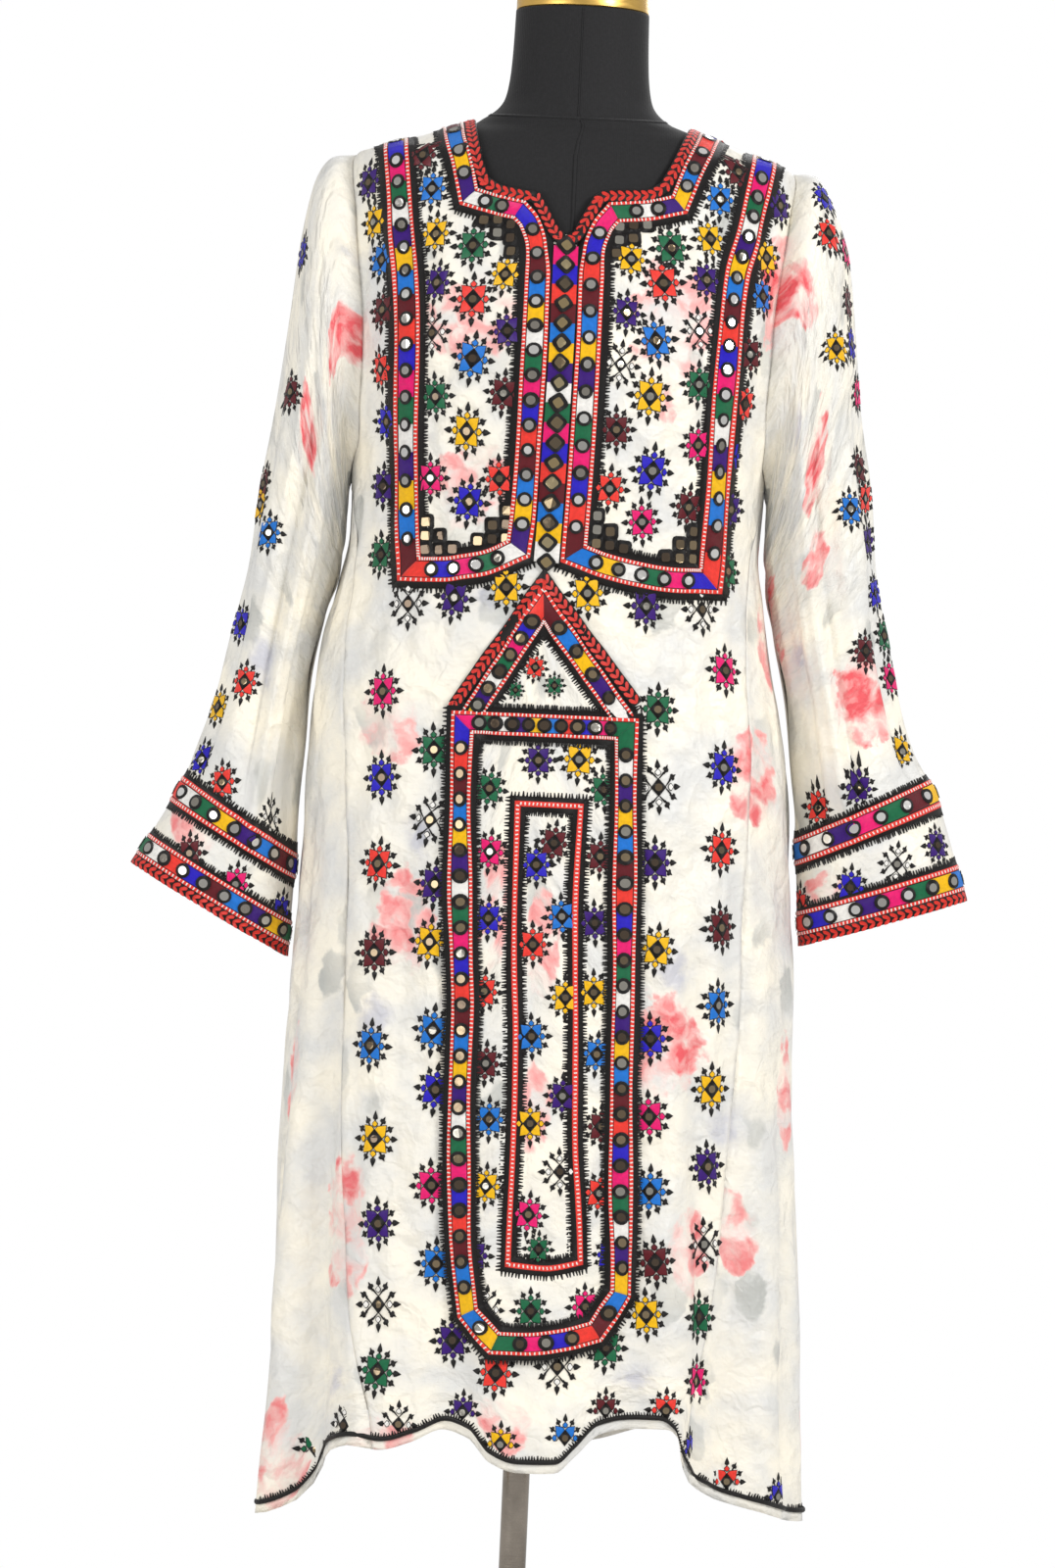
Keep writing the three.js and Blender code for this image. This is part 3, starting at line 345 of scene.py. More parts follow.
FRONT_STIFF = 24  # the pocket and its stitches hold the cloth flat this far round
FRONT_STIFF_SHARE = 0.35
NARROW_FOLDS = soft_folds(11, 40, 1.6, 4.2)
WRINKLES = ripples(5, 9, 26, 70)
WRINKLE_DEPTH = 1.05
WRINKLES_FADE = (1330, 1385)  # heights between which the wrinkles end at the shoulders
SLEEVE_WRINKLES = ripples(8, 9, 30, 85)
SLEEVE_WRINKLE_DEPTH = 1.7
# Creases of the sleeves that the cloth wall doesn't have: degrees, depth, half width, first, last section
SLEEVE_CREASES = (
    (28, 3.6, 5, 1.2, 9), (52, -5, 6, 2, 12), (76, 5.5, 5, 1.5, 12.5), (88, -4.5, 5, 3, 12),
    (112, 4, 6, 2, 9), (146, -4.5, 7, 3, 12), (172, 4, 6, 2, 10), (200, -4, 6, 3, 12),
    (230, 4.5, 6, 2, 11), (262, -4.5, 6, 2, 10), (298, 4.5, 7, 2, 12), (334, -4.5, 7, 1.5, 10),
)


def fold_depth(deg, z):
    """How far the dress stands out from its plain section."""
    depth = 0.0
    for place, deep, width, start in FOLDS:
        grown = smooth_step(start - z, 0, start - FOLD_FULL)
        depth = depth + deep * grown * np.exp(-((around(deg - place) / width) ** 2))
    for place, deep, width, start in NARROW_FOLDS:
        drift = 1.2 * np.sin(z / 90 + place)
        grown = smooth_step(start - z, 0, 260)
        depth = depth + deep * grown * np.exp(-((around(deg - place + drift) / width) ** 2))
    free = 1 - smooth_step(z, *WRINKLES_FADE)
    wrinkle = sum(share * np.sin(a * deg * 3 + b * z + phase) for a, b, phase, share in WRINKLES)
    return depth + WRINKLE_DEPTH * free * wrinkle


def dress_point(deg, z, out=0.0):
    return oval_point(body, deg, z, fold_depth(deg, z) + out)


def front_place(x, z):
    """Place on the dress, in degrees and height, that is seen from the front at x, z."""
    x, z = np.broadcast_arrays(np.asarray(x, float), np.asarray(z, float))
    height = np.minimum(z, PANEL_TOP)
    limit = math.sin(math.radians(89))
    for _ in range(200):
        share = (x - body[0](height)) / body[1](height)
        over = np.abs(share) > limit
        if not over.any():
            break
        height = np.where(over, height - 0.5, height)
    return np.degrees(np.arcsin(np.clip(share, -limit, limit))), height


class Surface:
    """A face of the cloth: a point for each pair of coordinates, and what is laid on it."""

    def __init__(self, point, step_u, step_v, sign=1):
        self.point = point
        self.step_u = step_u
        self.step_v = step_v
        self.sign = sign

    def frame(self, u, v):
        """Slope along each coordinate, and the direction that the cloth faces."""
        along = (self.point(u + self.step_u, v) - self.point(u - self.step_u, v)) / (2 * self.step_u)
        down = (self.point(u, v + self.step_v) - self.point(u, v - self.step_v)) / (2 * self.step_v)
        return along, down, unit(np.cross(along, down)) * self.sign

    def lifted(self, u, v, out):
        return self.point(u, v) + self.frame(u, v)[2] * np.asarray(out)[..., None]

    def patch(self, u, v, right, up, turn=0.0, heading=None):
        """Coordinates of spots `right` and `up` in millimetres from each place (u, v), an array of rows.

        Up is as near to straight up as the cloth allows, unless `heading` says which way is right.
        """
        slope_u, slope_v, normal = self.frame(u, v)
        if heading is None:
            y_axis = unit(np.array([0.0, 0.0, 1.0]) - normal * normal[..., 2:])
            x_axis = np.cross(y_axis, normal)
        else:
            x_axis = unit(heading - normal * (heading * normal).sum(-1, keepdims=True))
            y_axis = np.cross(normal, x_axis)
        cos, sin = np.cos(turn)[:, None], np.sin(turn)[:, None]
        a = right * cos - up * sin
        b = right * sin + up * cos
        move = a[..., None] * x_axis[:, None] + b[..., None] * y_axis[:, None]
        uu = (slope_u * slope_u).sum(-1)[:, None]
        vv = (slope_v * slope_v).sum(-1)[:, None]
        uv = (slope_u * slope_v).sum(-1)[:, None]
        mu = (move * slope_u[:, None]).sum(-1)
        mv = (move * slope_v[:, None]).sum(-1)
        det = uu * vv - uv * uv
        return u[:, None] + (vv * mu - uv * mv) / det, v[:, None] + (uu * mv - uv * mu) / det


dress = Surface(dress_point, 0.4, 1.0)


def armhole(side):
    """Points round an armhole from the underarm, up the front and down the back, and their angles."""
    heights = UNDERARM + (SHOULDER_TIP - UNDERARM) * np.linspace(0, 1, ARMHOLE_STEPS)
    edge = seam_line(heights)
    edge[0] = edge[-1] = 90
    front = dress_point(side * edge, heights)
    back = dress_point(side * (180 - edge), heights)[-2:0:-1]
    ring = np.concatenate([front, back])
    steps = np.linalg.norm(np.roll(ring, -1, 0) - ring, axis=1)
    return ring, 360 * np.concatenate([[0], np.cumsum(steps)[:-1]]) / steps.sum()


def sleeve_surface(rows, side):
    section = [curve(rows, column) for column in range(1, 6)]
    ring, angles = armhole(side)

    def plain(deg, s):
        outer = np.stack([section[0](s), 0 * s, section[1](s)], -1)
        inner = np.stack([section[2](s), 0 * s, section[3](s)], -1)
        half = (outer - inner) / 2
        out = 0.0
        for place, deep, width, first, last in SLEEVE_FOLDS + SLEEVE_CREASES:
            here = smooth_step(s, first, first + 2) * (1 - smooth_step(s, last - 2, last))
            out = out + deep * here * np.exp(-((around(deg - place) / width) ** 2))
        free = smooth_step(s, 0.5, 2.5) * (1 - 0.8 * smooth_step(s, 10, 12))
        wave = sum(p * np.sin(a * deg * 0.9 + b * s * 48 + f) for a, b, f, p in SLEEVE_WRINKLES)
        out = out + SLEEVE_WRINKLE_DEPTH * free * wave
        grow = 1 + out / np.linalg.norm(half, axis=-1)
        cos, sin = np.cos(np.radians(deg)), np.sin(np.radians(deg))
        place = (outer + inner) / 2 - half * (cos * grow)[..., None]
        place[..., 1] -= sin * (section[4](s) + out)
        return place

    def point(deg, s):
        deg, s = np.broadcast_arrays(np.asarray(deg, float), np.asarray(s, float))
        place = plain(deg, s)
        turned = np.mod(deg, 360)
        start = np.stack([np.interp(turned, angles, ring[:, k], period=360) for k in range(3)], -1)
        shift = start - plain(deg, np.zeros_like(s))
        return place + shift * (np.clip(1 - s, 0, 1) ** 2)[..., None]

    made = Surface(point, 1.0, 0.04, -side)
    made.section = section
    return made


def sleeve_place(surface, x, z):
    """Place on a sleeve, in degrees and sections, that is seen at x, z."""
    s = np.linspace(0, LAST_SECTION, 561)
    outer_x, outer_z, inner_x, inner_z = (surface.section[k](s) for k in range(4))
    half_x, half_z = (outer_x - inner_x) / 2, (outer_z - inner_z) / 2
    away_x, away_z = x - (outer_x + inner_x) / 2, z - (outer_z + inner_z) / 2
    miss = np.abs(away_x * half_z - away_z * half_x) / np.hypot(half_x, half_z)
    best = int(np.argmin(miss))
    share = (away_x * half_x + away_z * half_z)[best] / (half_x**2 + half_z**2)[best]
    deg = math.degrees(math.acos(max(-SLEEVE_EDGE, min(SLEEVE_EDGE, -share))))
    return deg, float(s[best])


SLEEVE_EDGE = 0.97  # motifs stay this share of the way to a sleeve's outline
SLEEVES = {
    "left": sleeve_surface(SLEEVE_LEFT, -1),
    "right": sleeve_surface(SLEEVE_RIGHT, 1),
}
SIDES = {"left": -1, "right": 1}


def node(tree, kind, inputs, out=0, stops=None, **settings):
    """Adds a node with its values, links and settings, and gives its output."""
    made = tree.nodes.new("ShaderNode" + kind)
    for key, value in settings.items():
        setattr(made, key, value)
    if stops:
        ramp = made.color_ramp.elements
        while len(ramp) < len(stops):
            ramp.new(0.5)
        for element, (position, colour) in zip(ramp, stops):
            element.position = position
            element.color = colour if len(colour) == 4 else (*colour, 1)
    for key, value in inputs.items():
        socket = made.inputs[key]
        if isinstance(value, bpy.types.NodeSocket):
            tree.links.new(value, socket)
        else:
            socket.default_value = (*value, 1) if socket.type == "RGBA" and len(value) == 3 else value
    return made.outputs[out]


def material(name, build):
    """Material made of nodes: `build` adds them and gives the shader's inputs."""
    made = bpy.data.materials.new(name)
    made.use_nodes = True
    tree = made.node_tree
    tree.nodes.clear()
    shader = node(tree, "BsdfPrincipled", build(tree))
    node(tree, "OutputMaterial", {"Surface": shader}, out=slice(0, 0))
    return made


def finish_piece(name, mesh, finish, slot_name):
    """Links a finished mesh as a piece that rides on the body."""
    mesh.shade_smooth()
    mesh.materials.append(finish)
    made = bpy.data.objects.new(name, mesh)
    bpy.context.scene.collection.objects.link(made)
    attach(made, BODY_NAME)
    return made


def thicken(piece, thickness):
    """Gives a piece of cloth or stitching its thickness in millimetres."""
    wall = piece.modifiers.new("wall", "SOLIDIFY")
    wall.thickness = thickness * MM
    wall.offset = -1.0
    wall.use_even_offset = False
    return piece


def mesh_from(bm, name):
    """Mesh of a bmesh, which is freed."""
    mesh = bpy.data.meshes.new(name)
    bm.to_mesh(mesh)
    bm.free()
    return mesh


def lengths_to(points):
    """Length of a line of points up to each of them."""
    return np.concatenate([[0], np.cumsum(np.linalg.norm(np.diff(points, axis=0), axis=1))])


def grid_mesh(columns, rows, flip=False):
    """Grid of faces as a bmesh, with each corner's share across and share down."""
    bm = bmesh.new()
    bmesh.ops.create_grid(bm, x_segments=columns, y_segments=rows, size=0.5)
    if flip:
        bmesh.ops.reverse_faces(bm, faces=bm.faces)
    places = np.array([v.co[:2] for v in bm.verts])
    return bm, places[:, 0] + 0.5, 0.5 - places[:, 1]


def set_corners(mesh, name, colours):
    """Writes a colour attribute with one value for each corner of each face."""
    made = mesh.attributes.new(name, "FLOAT_COLOR", "CORNER")
    made.data.foreach_set("color", colours.astype(np.float32).ravel())


def corner_vertices(mesh):
    index = np.empty(len(mesh.loops), np.int32)
    mesh.loops.foreach_get("vertex_index", index)
    return index


def set_places(mesh, points):
    mesh.vertices.foreach_set("co", (points * MM).astype(np.float32).ravel())
    mesh.update()


def cloth_lengths(points, across, down, columns, rows):
    """Place on the flat cloth of each corner of a grid, in metres, from its arc lengths."""
    c = np.rint(across * columns).astype(int)
    r = np.rint(down * rows).astype(int)
    grid = np.empty((rows + 1, columns + 1, 3))
    grid[r, c] = points
    steps = np.linalg.norm(np.diff(grid, axis=1), axis=-1)
    round_length = np.concatenate([np.zeros((rows + 1, 1)), np.cumsum(steps, axis=1)], axis=1)
    middle = columns // 2
    round_length -= round_length[:, middle : middle + 1]
    down_length = lengths_to(grid[:, middle])
    return np.stack([round_length[r, c], -down_length[r]], -1) * MM


def inside_opening(outline, x, z):
    """Whether places lie above a neckline, and the nearest place on the line."""
    line = np.array(outline, float)
    start, step = line[:-1], np.diff(line, axis=0)
    away = np.stack([x, z], -1)[:, None] - start
    share = np.clip((away * step).sum(-1) / (step * step).sum(-1), 0, 1)
    near = start + step * share[..., None]
    best = np.linalg.norm(np.stack([x, z], -1)[:, None] - near, axis=-1).argmin(axis=1)
    above = (x > line[0, 0]) & (x < line[-1, 0]) & (z > np.interp(x, line[:, 0], line[:, 1]))
    return above, near[np.arange(len(x)), best]


def back_place(x, z):
    deg, height = front_place(x, z)
    return 180 - deg, height


def lay_cloth(name, columns, rows, place, surface, flip=False, ring=False, neck=None, neck_place=None):
    """Piece of cloth on a surface, with its flat coordinates and its print."""
    bm, across, down = grid_mesh(columns, rows, flip)
    u, v = place(across, down)
    points = surface.point(u, v)
    flat = cloth_lengths(points, across, down, columns, rows)
    if neck:
        inside, near = inside_opening(neck, points[:, 0], points[:, 2])
        bm.verts.index_update()
        gone = [f for f in bm.faces if all(inside[w.index] for w in f.verts)]
        number = bm.verts.layers.int.new("number")
        for w in bm.verts:
            w[number] = w.index
        bmesh.ops.delete(bm, geom=gone, context="FACES")
        kept = np.array([w[number] for w in bm.verts])
        bm.verts.layers.int.remove(number)
        edge_u, edge_v = neck_place(near[:, 0], near[:, 1])
        u, v = np.where(inside, edge_u, u)[kept], np.where(inside, edge_v, v)[kept]
        points, flat = surface.point(u, v), flat[kept]
    mesh = mesh_from(bm, name)
    set_places(mesh, points)
    uv_layer = mesh.uv_layers.new(name="cloth")
    uv_layer.uv.foreach_set("vector", flat[corner_vertices(mesh)].astype(np.float32).ravel())
    print_on(mesh, points, flat, SEEDS[name])
    if ring:
        bm = bmesh.new()
        bm.from_mesh(mesh)
        bmesh.ops.remove_doubles(bm, verts=bm.verts, dist=1e-5)
        bm.to_mesh(mesh)
        bm.free()
    return mesh


def print_on(mesh, points, flat, seed):
    """Writes where the printed roses and leaves lie on a piece of cloth."""
    rng = np.random.default_rng(seed)
    behind = points[:, 1].mean() > 0
    roses, leaves = [], []
    for kind, found in ((ROSES, roses), (LEAVES, leaves)):
        for x, z, wide, tall, strength in kind:
            gap = np.hypot(points[:, 0] - x, points[:, 2] - z) + np.where(points[:, 1] > 0, 1000, 0)
            if gap.min() < 12:
                found.append((*flat[gap.argmin()], wide * MM, tall * MM, strength))
    low, high = flat.min(axis=0), flat.max(axis=0)
    if not roses or behind:
        for _ in range(int((high[0] - low[0]) * (high[1] - low[1]) * PRINTS_PER_SQUARE_METRE)):
            spot = rng.uniform(low, high)
            size = rng.uniform(0.022, 0.045)
            found = roses if rng.random() < 0.6 else leaves
            found.append((*spot, size, size * rng.uniform(1, 1.6), rng.uniform(0.3, 0.8)))
    rose = np.full((len(flat), 3), 9.0)
    for x, y, wide, tall, strength in roses:
        away = np.linalg.norm((flat - (x, y)) / (wide, tall), axis=1)
        nearer = away < rose[:, 0]
        rose[nearer] = np.column_stack([away, np.full(len(flat), strength), away])[nearer]
    leaf = np.zeros(len(flat))
    for x, y, wide, tall, strength in leaves:
        leaf += strength * np.exp(-(((flat - (x, y)) / (wide, tall)) ** 2).sum(axis=1))
    prints = (("rose", "FLOAT_VECTOR", "vector", rose), ("leaf", "FLOAT", "value", leaf))
    for name, kind, key, values in prints:
        mesh.attributes.new(name, kind, "POINT").data.foreach_set(key, values.astype(np.float32).ravel())


PRINTS_PER_SQUARE_METRE = 55
SEEDS = {
    "front_panel_silk": 1, "back_panel_silk": 2, "gore_right_silk": 3, "gore_left_silk": 4,
    "sleeve_left_silk": 5, "sleeve_right_silk": 6, "pocket_panel_silk": 7,
}
# Printed roses as seen from the front: x, z, half width, half height, strength.
ROSES = (
    (-80, 1255, 34, 38, 0.35), (-72, 1120, 30, 30, 0.45), (85, 1250, 34, 60, 0.4), (172, 1290, 22, 48, 1.0),
    (-180, 1240, 20, 46, 1.0), (-205, 1165, 22, 30, 0.9), (205, 1155, 20, 42, 0.9), (255, 965, 26, 34, 0.95),
    (207, 1075, 18, 26, 0.6), (172, 1040, 18, 40, 0.85), (172, 1000, 18, 30, 0.6), (165, 900, 26, 34, 0.7),
    (-130, 930, 26, 30, 0.55), (-110, 770, 24, 34, 0.6), (105, 680, 30, 36, 0.8), (-35, 790, 22, 44, 0.45),
    (-150, 545, 24, 34, 0.7), (-145, 495, 20, 26, 0.6), (-195, 640, 14, 40, 0.6), (205, 640, 14, 40, 0.6),
    (130, 515, 20, 30, 0.75), (170, 530, 20, 28, 0.6), (222, 370, 16, 34, 0.8), (-190, 320, 22, 24, 0.8),
    (-200, 355, 16, 22, 0.6), (-15, 375, 24, 20, 0.55), (-105, 355, 24, 22, 0.5), (0, 760, 16, 40, 0.5),
    (0, 630, 16, 30, 0.45), (-285, 840, 24, 20, 0.6), (225, 800, 22, 22, 0.6),
)
# Printed grey leaves: the same columns.
LEAVES = (
    (-130, 690, 18, 26, 0.8), (110, 740, 20, 22, 0.8), (90, 415, 20, 20, 0.7), (-60, 1030, 20, 18, 0.6),
    (-60, 700, 14, 24, 0.6), (-100, 840, 16, 26, 0.7), (-235, 970, 16, 30, 0.8), (190, 1180, 14, 30, 0.8),
    (200, 1000, 14, 24, 0.7), (-160, 1300, 12, 30, 0.5), (60, 1210, 18, 24, 0.4), (-150, 400, 20, 26, 0.6),
    (150, 620, 18, 30, 0.6), (-30, 560, 14, 30, 0.6), (30, 700, 12, 26, 0.5), (-90, 1340, 18, 14, 0.4),
)


def silk_material(name, shades):
    """Printed satin-weave silk: soft sheen, washed-out roses and leaves, fine creases."""

    smooth = {"interpolation_type": "SMOOTHSTEP"}

    def build(tree):
        cloth = node(tree, "UVMap", {}, uv_map="cloth")
        rose = node(tree, "Attribute", {}, out=1, attribute_name="rose")
        leaf = node(tree, "Attribute", {}, out=2, attribute_name="leaf")
        # The print runs like water colour: noise bends its edges by about 10 mm.
        run = node(tree, "TexNoise", {"Vector": cloth, "Scale": 45.0, "Detail": 4.0}, out=1)
        bend_by = {0: run, 1: (0.03, 0.03, 0.0), 2: cloth}
        bent_cloth = node(tree, "VectorMath", bend_by, operation="MULTIPLY_ADD")
        bend = node(tree, "SeparateXYZ", {0: run})
        nearest = node(tree, "SeparateXYZ", {0: rose})
        strength = node(tree, "SeparateXYZ", {0: rose}, out=1)
        away = node(tree, "Math", {0: bend, 1: 1.5, 2: nearest}, operation="MULTIPLY_ADD")
        inside = node(tree, "MapRange", {0: away, 1: 1.7, 2: 2.0, 3: 1.0, 4: 0.0}, **smooth)
        # Rounded petals about 26 mm across, with worn gaps between them.
        rounded = {"Vector": bent_cloth, "Scale": 38.0, "Smoothness": 0.25}
        petal = node(tree, "TexVoronoi", rounded, feature="SMOOTH_F1")
        round_petal = node(tree, "MapRange", {0: petal, 1: 0.32, 2: 0.62, 3: 1.0, 4: 0.25}, **smooth)
        streak = node(tree, "TexNoise", {"Vector": bent_cloth, "Scale": 75.0, "Detail": 5.0})
        streak = node(tree, "MapRange", {0: streak, 1: 0.35, 2: 0.62, 3: 0.35, 4: 1.1})
        shade = node(tree, "Math", {0: round_petal, 1: streak}, operation="MULTIPLY")
        shade = node(tree, "Math", {0: shade, 1: inside}, operation="MULTIPLY")
        shade = node(tree, "Math", {0: shade, 1: strength}, operation="MULTIPLY")
        # Cloth ground: large soft clouds of warmer and greyer white, about 60 mm across.
        cloud = node(tree, "TexNoise", {"Vector": cloth, "Scale": 16.0, "Detail": 5.0})
        ground = node(tree, "ValToRGB", {0: cloud}, stops=((0.38, shades[0]), (0.62, shades[1])))
        # Burnt-out ovals of the woven ground, 28 mm wide and 42 mm tall, in cells of 48 by 72 mm.
        squeezed = node(tree, "Mapping", {0: bent_cloth, 3: (1.0, 0.66, 1.0)})
        cell = node(tree, "TexVoronoi", {"Vector": squeezed, "Scale": 21.0, "Randomness": 0.7})
        oval = node(tree, "MapRange", {0: cell, 1: 0.25, 2: 0.33, 3: 1.0, 4: 0.0}, **smooth)
        patchy = node(tree, "TexNoise", {"Vector": cloth, "Scale": 9.0})
        patchy = node(tree, "MapRange", {0: patchy, 1: 0.36, 2: 0.56, 3: 0.15, 4: 0.95})
        oval = node(tree, "Math", {0: oval, 1: patchy}, operation="MULTIPLY")
        ground = node(tree, "Mix", {0: oval, 6: ground, 7: shades[2]}, out=2, data_type="RGBA")
        leaf_noise = node(tree, "TexNoise", {"Vector": cloth, "Scale": 70.0, "Detail": 4.0})
        leaf_edge = node(tree, "Math", {0: leaf, 1: leaf_noise}, operation="MULTIPLY")
        leaf_mask = node(tree, "MapRange", {0: leaf_edge, 1: 0.1, 2: 0.4, 3: 0.0, 4: 0.5}, **smooth)
        coloured = node(tree, "Mix", {0: leaf_mask, 6: ground, 7: shades[3]}, out=2, data_type="RGBA")
        pink = node(tree, "ValToRGB", {0: shade}, stops=((0.1, shades[4]), (0.85, shades[5])))
        wash = node(tree, "MapRange", {0: shade, 1: 0.02, 2: 0.3, 3: 0.0, 4: 1.0}, **smooth)
        coloured = node(tree, "Mix", {0: wash, 6: coloured, 7: pink}, out=2, data_type="RGBA")
        # Diagonal ribs of the satin weave drawn 1.3 mm apart, far coarser than silk's, so that they show.
        weave = node(tree, "TexWave", {"Vector": cloth, "Scale": 350.0}, out=1, bands_direction="DIAGONAL")
        # Creases: facets about 40 mm across, softened by a crumple of about 17 mm.
        crease = node(tree, "TexVoronoi", {"Vector": bent_cloth, "Scale": 26.0}, out=0, feature="F2")
        crumple = node(tree, "TexNoise", {"Vector": cloth, "Scale": 60.0, "Detail": 4.0, "Roughness": 0.5})
        height = node(tree, "Math", {0: crumple, 1: 0.55, 2: crease}, operation="MULTIPLY_ADD")
        height = node(tree, "Math", {0: weave, 1: 0.008, 2: height}, operation="MULTIPLY_ADD")
        bump = node(tree, "Bump", {"Strength": 0.8, "Distance": 0.008, "Height": height})
        return {
            "Base Color": coloured, "Roughness": 0.42, "IOR": 1.46, "Sheen Weight": 0.35,
            "Sheen Roughness": 0.35, "Normal": bump,
        }

    return material(name, build)


def thread_material(name):
    """Stitched rayon floss: bright and smooth along the stitch, with a groove between the threads, and
    painted shade that darkens the colour in each groove.
    """

    def build(tree):
        colour = node(tree, "Attribute", {}, attribute_name="thread")
        along = node(tree, "UVMap", {}, uv_map="stitch")
        # Threads 0.8 mm apart, drawn thicker than the real floss so that they show.
        line = node(tree, "TexWave", {"Vector": along, "Scale": 390.0, "Distortion": 1.5}, out=1)
        patchy = node(tree, "TexNoise", {"Vector": along, "Scale": 300.0, "Detail": 2.0})
        value = node(tree, "MapRange", {0: patchy, 1: 0.3, 2: 0.7, 3: 0.94, 4: 1.14})
        # Painted shade and highlight: the colour is darkened in the grooves between the threads and a little
        # lightened on their tops, following the same lines as the bump.
        painted_groove_shade = node(tree, "MapRange", {0: line, 1: 0.0, 2: 1.0, 3: 0.82, 4: 1.08})
        value = node(tree, "Math", {0: value, 1: painted_groove_shade}, operation="MULTIPLY")
        tinted = node(tree, "HueSaturation", {"Value": value, "Color": colour})
        bump = node(tree, "Bump", {"Strength": 0.6, "Distance": 0.0006, "Height": line})
        return {
            "Base Color": tinted, "Roughness": 0.42, "IOR": 1.42, "Sheen Weight": 0.04,
            "Sheen Roughness": 0.4, "Normal": bump,
        }

    return material(name, build)


def mirror_material():
    """Silvered glass chips, flat and a little clouded."""

    def build(tree):
        colour = node(tree, "Attribute", {}, attribute_name="thread")
        spot = node(tree, "TexCoord", {}, out=3)
        cloudy = node(tree, "TexNoise", {"Vector": spot, "Scale": 260.0, "Detail": 2.0})
        rough = node(tree, "MapRange", {0: cloudy, 1: 0.35, 2: 0.7, 3: 0.06, 4: 0.22})
        return {"Base Color": colour, "Metallic": 1.0, "Roughness": rough, "Coat Weight": 0.4}

    return material("silvered_mirror_glass", build)


def jersey_material(colour):
    """Black cotton jersey drawn tight: fine ribs and a soft bloom at the edges."""

    def build(tree):
        spot = node(tree, "TexCoord", {}, out=3)
        # Wales of the knit drawn 1.4 mm apart, twice the real gauge, so that they show.
        rib = node(tree, "TexWave", {"Vector": spot, "Scale": 220.0, "Distortion": 0.6}, out=1)
        lint = node(tree, "TexNoise", {"Vector": spot, "Scale": 420.0, "Detail": 3.0})
        bloom = tuple(c * 1.8 + 0.002 for c in colour)
        shade = node(tree, "ValToRGB", {0: lint}, stops=((0.35, colour), (0.8, bloom)))
        height = node(tree, "Math", {0: rib, 1: 0.6, 2: lint}, operation="MULTIPLY_ADD")
        bump = node(tree, "Bump", {"Strength": 0.3, "Distance": 0.0005, "Height": height})
        return {
            "Base Color": shade, "Roughness": 0.8, "Sheen Weight": 0.12, "Sheen Roughness": 0.4,
            "Normal": bump,
        }

    return material("black_cotton_jersey", build)


def metal_material(name, colour, roughness, scale):
    """Turned and polished metal with fine rub marks round it."""

    def build(tree):
        spot = node(tree, "TexCoord", {}, out=3)
        stretched = node(tree, "Mapping", {0: spot, 3: (1.0, 1.0, 9.0)})
        rub = node(tree, "TexNoise", {"Vector": stretched, "Scale": scale, "Detail": 4.0})
        rough = node(tree, "MapRange", {0: rub, 1: 0.3, 2: 0.7, 3: roughness * 0.7, 4: roughness * 1.5})
        stain = node(tree, "TexNoise", {"Vector": spot, "Scale": 30.0, "Detail": 3.0})
        dark = tuple(c * 0.72 for c in colour)
        shade = node(tree, "ValToRGB", {0: stain}, stops=((0.35, dark), (0.6, colour)))
        return {"Base Color": shade, "Metallic": 1.0, "Roughness": rough}

    return material(name, build)


def split_legs(rows, closed):
    """Stretches of a band's line between its corners, with the turn at both ends in radians."""
    line = np.array(rows, float)
    count = len(line)
    steps = np.diff(line[:, :2], axis=0, append=line[:1, :2])
    heading = np.arctan2(steps[:, 1], steps[:, 0])
    turn = np.mod(heading - np.roll(heading, 1) + math.pi, 2 * math.pi) - math.pi
    corners = [i for i in range(count) if abs(turn[i]) > CORNER_TURN]
    if not closed:
        inner = [i for i in corners if 0 < i < count - 1]
        ends = [0, *inner, count - 1]
        turns = [0.0, *[turn[i] for i in inner], 0.0]
        return [Leg(line[a : b + 1], turns[k], turns[k + 1]) for k, (a, b) in enumerate(zip(ends, ends[1:]))]
    doubled = np.concatenate([line, line])
    ends = [*corners, corners[0] + count]
    return [Leg(doubled[a : b + 1], turn[a], turn[b % count]) for a, b in zip(ends, ends[1:])]


CORNER_TURN = math.radians(30)
MITRE_REACH = 24  # distance from a corner in which a band's rows turn to meet its mitre


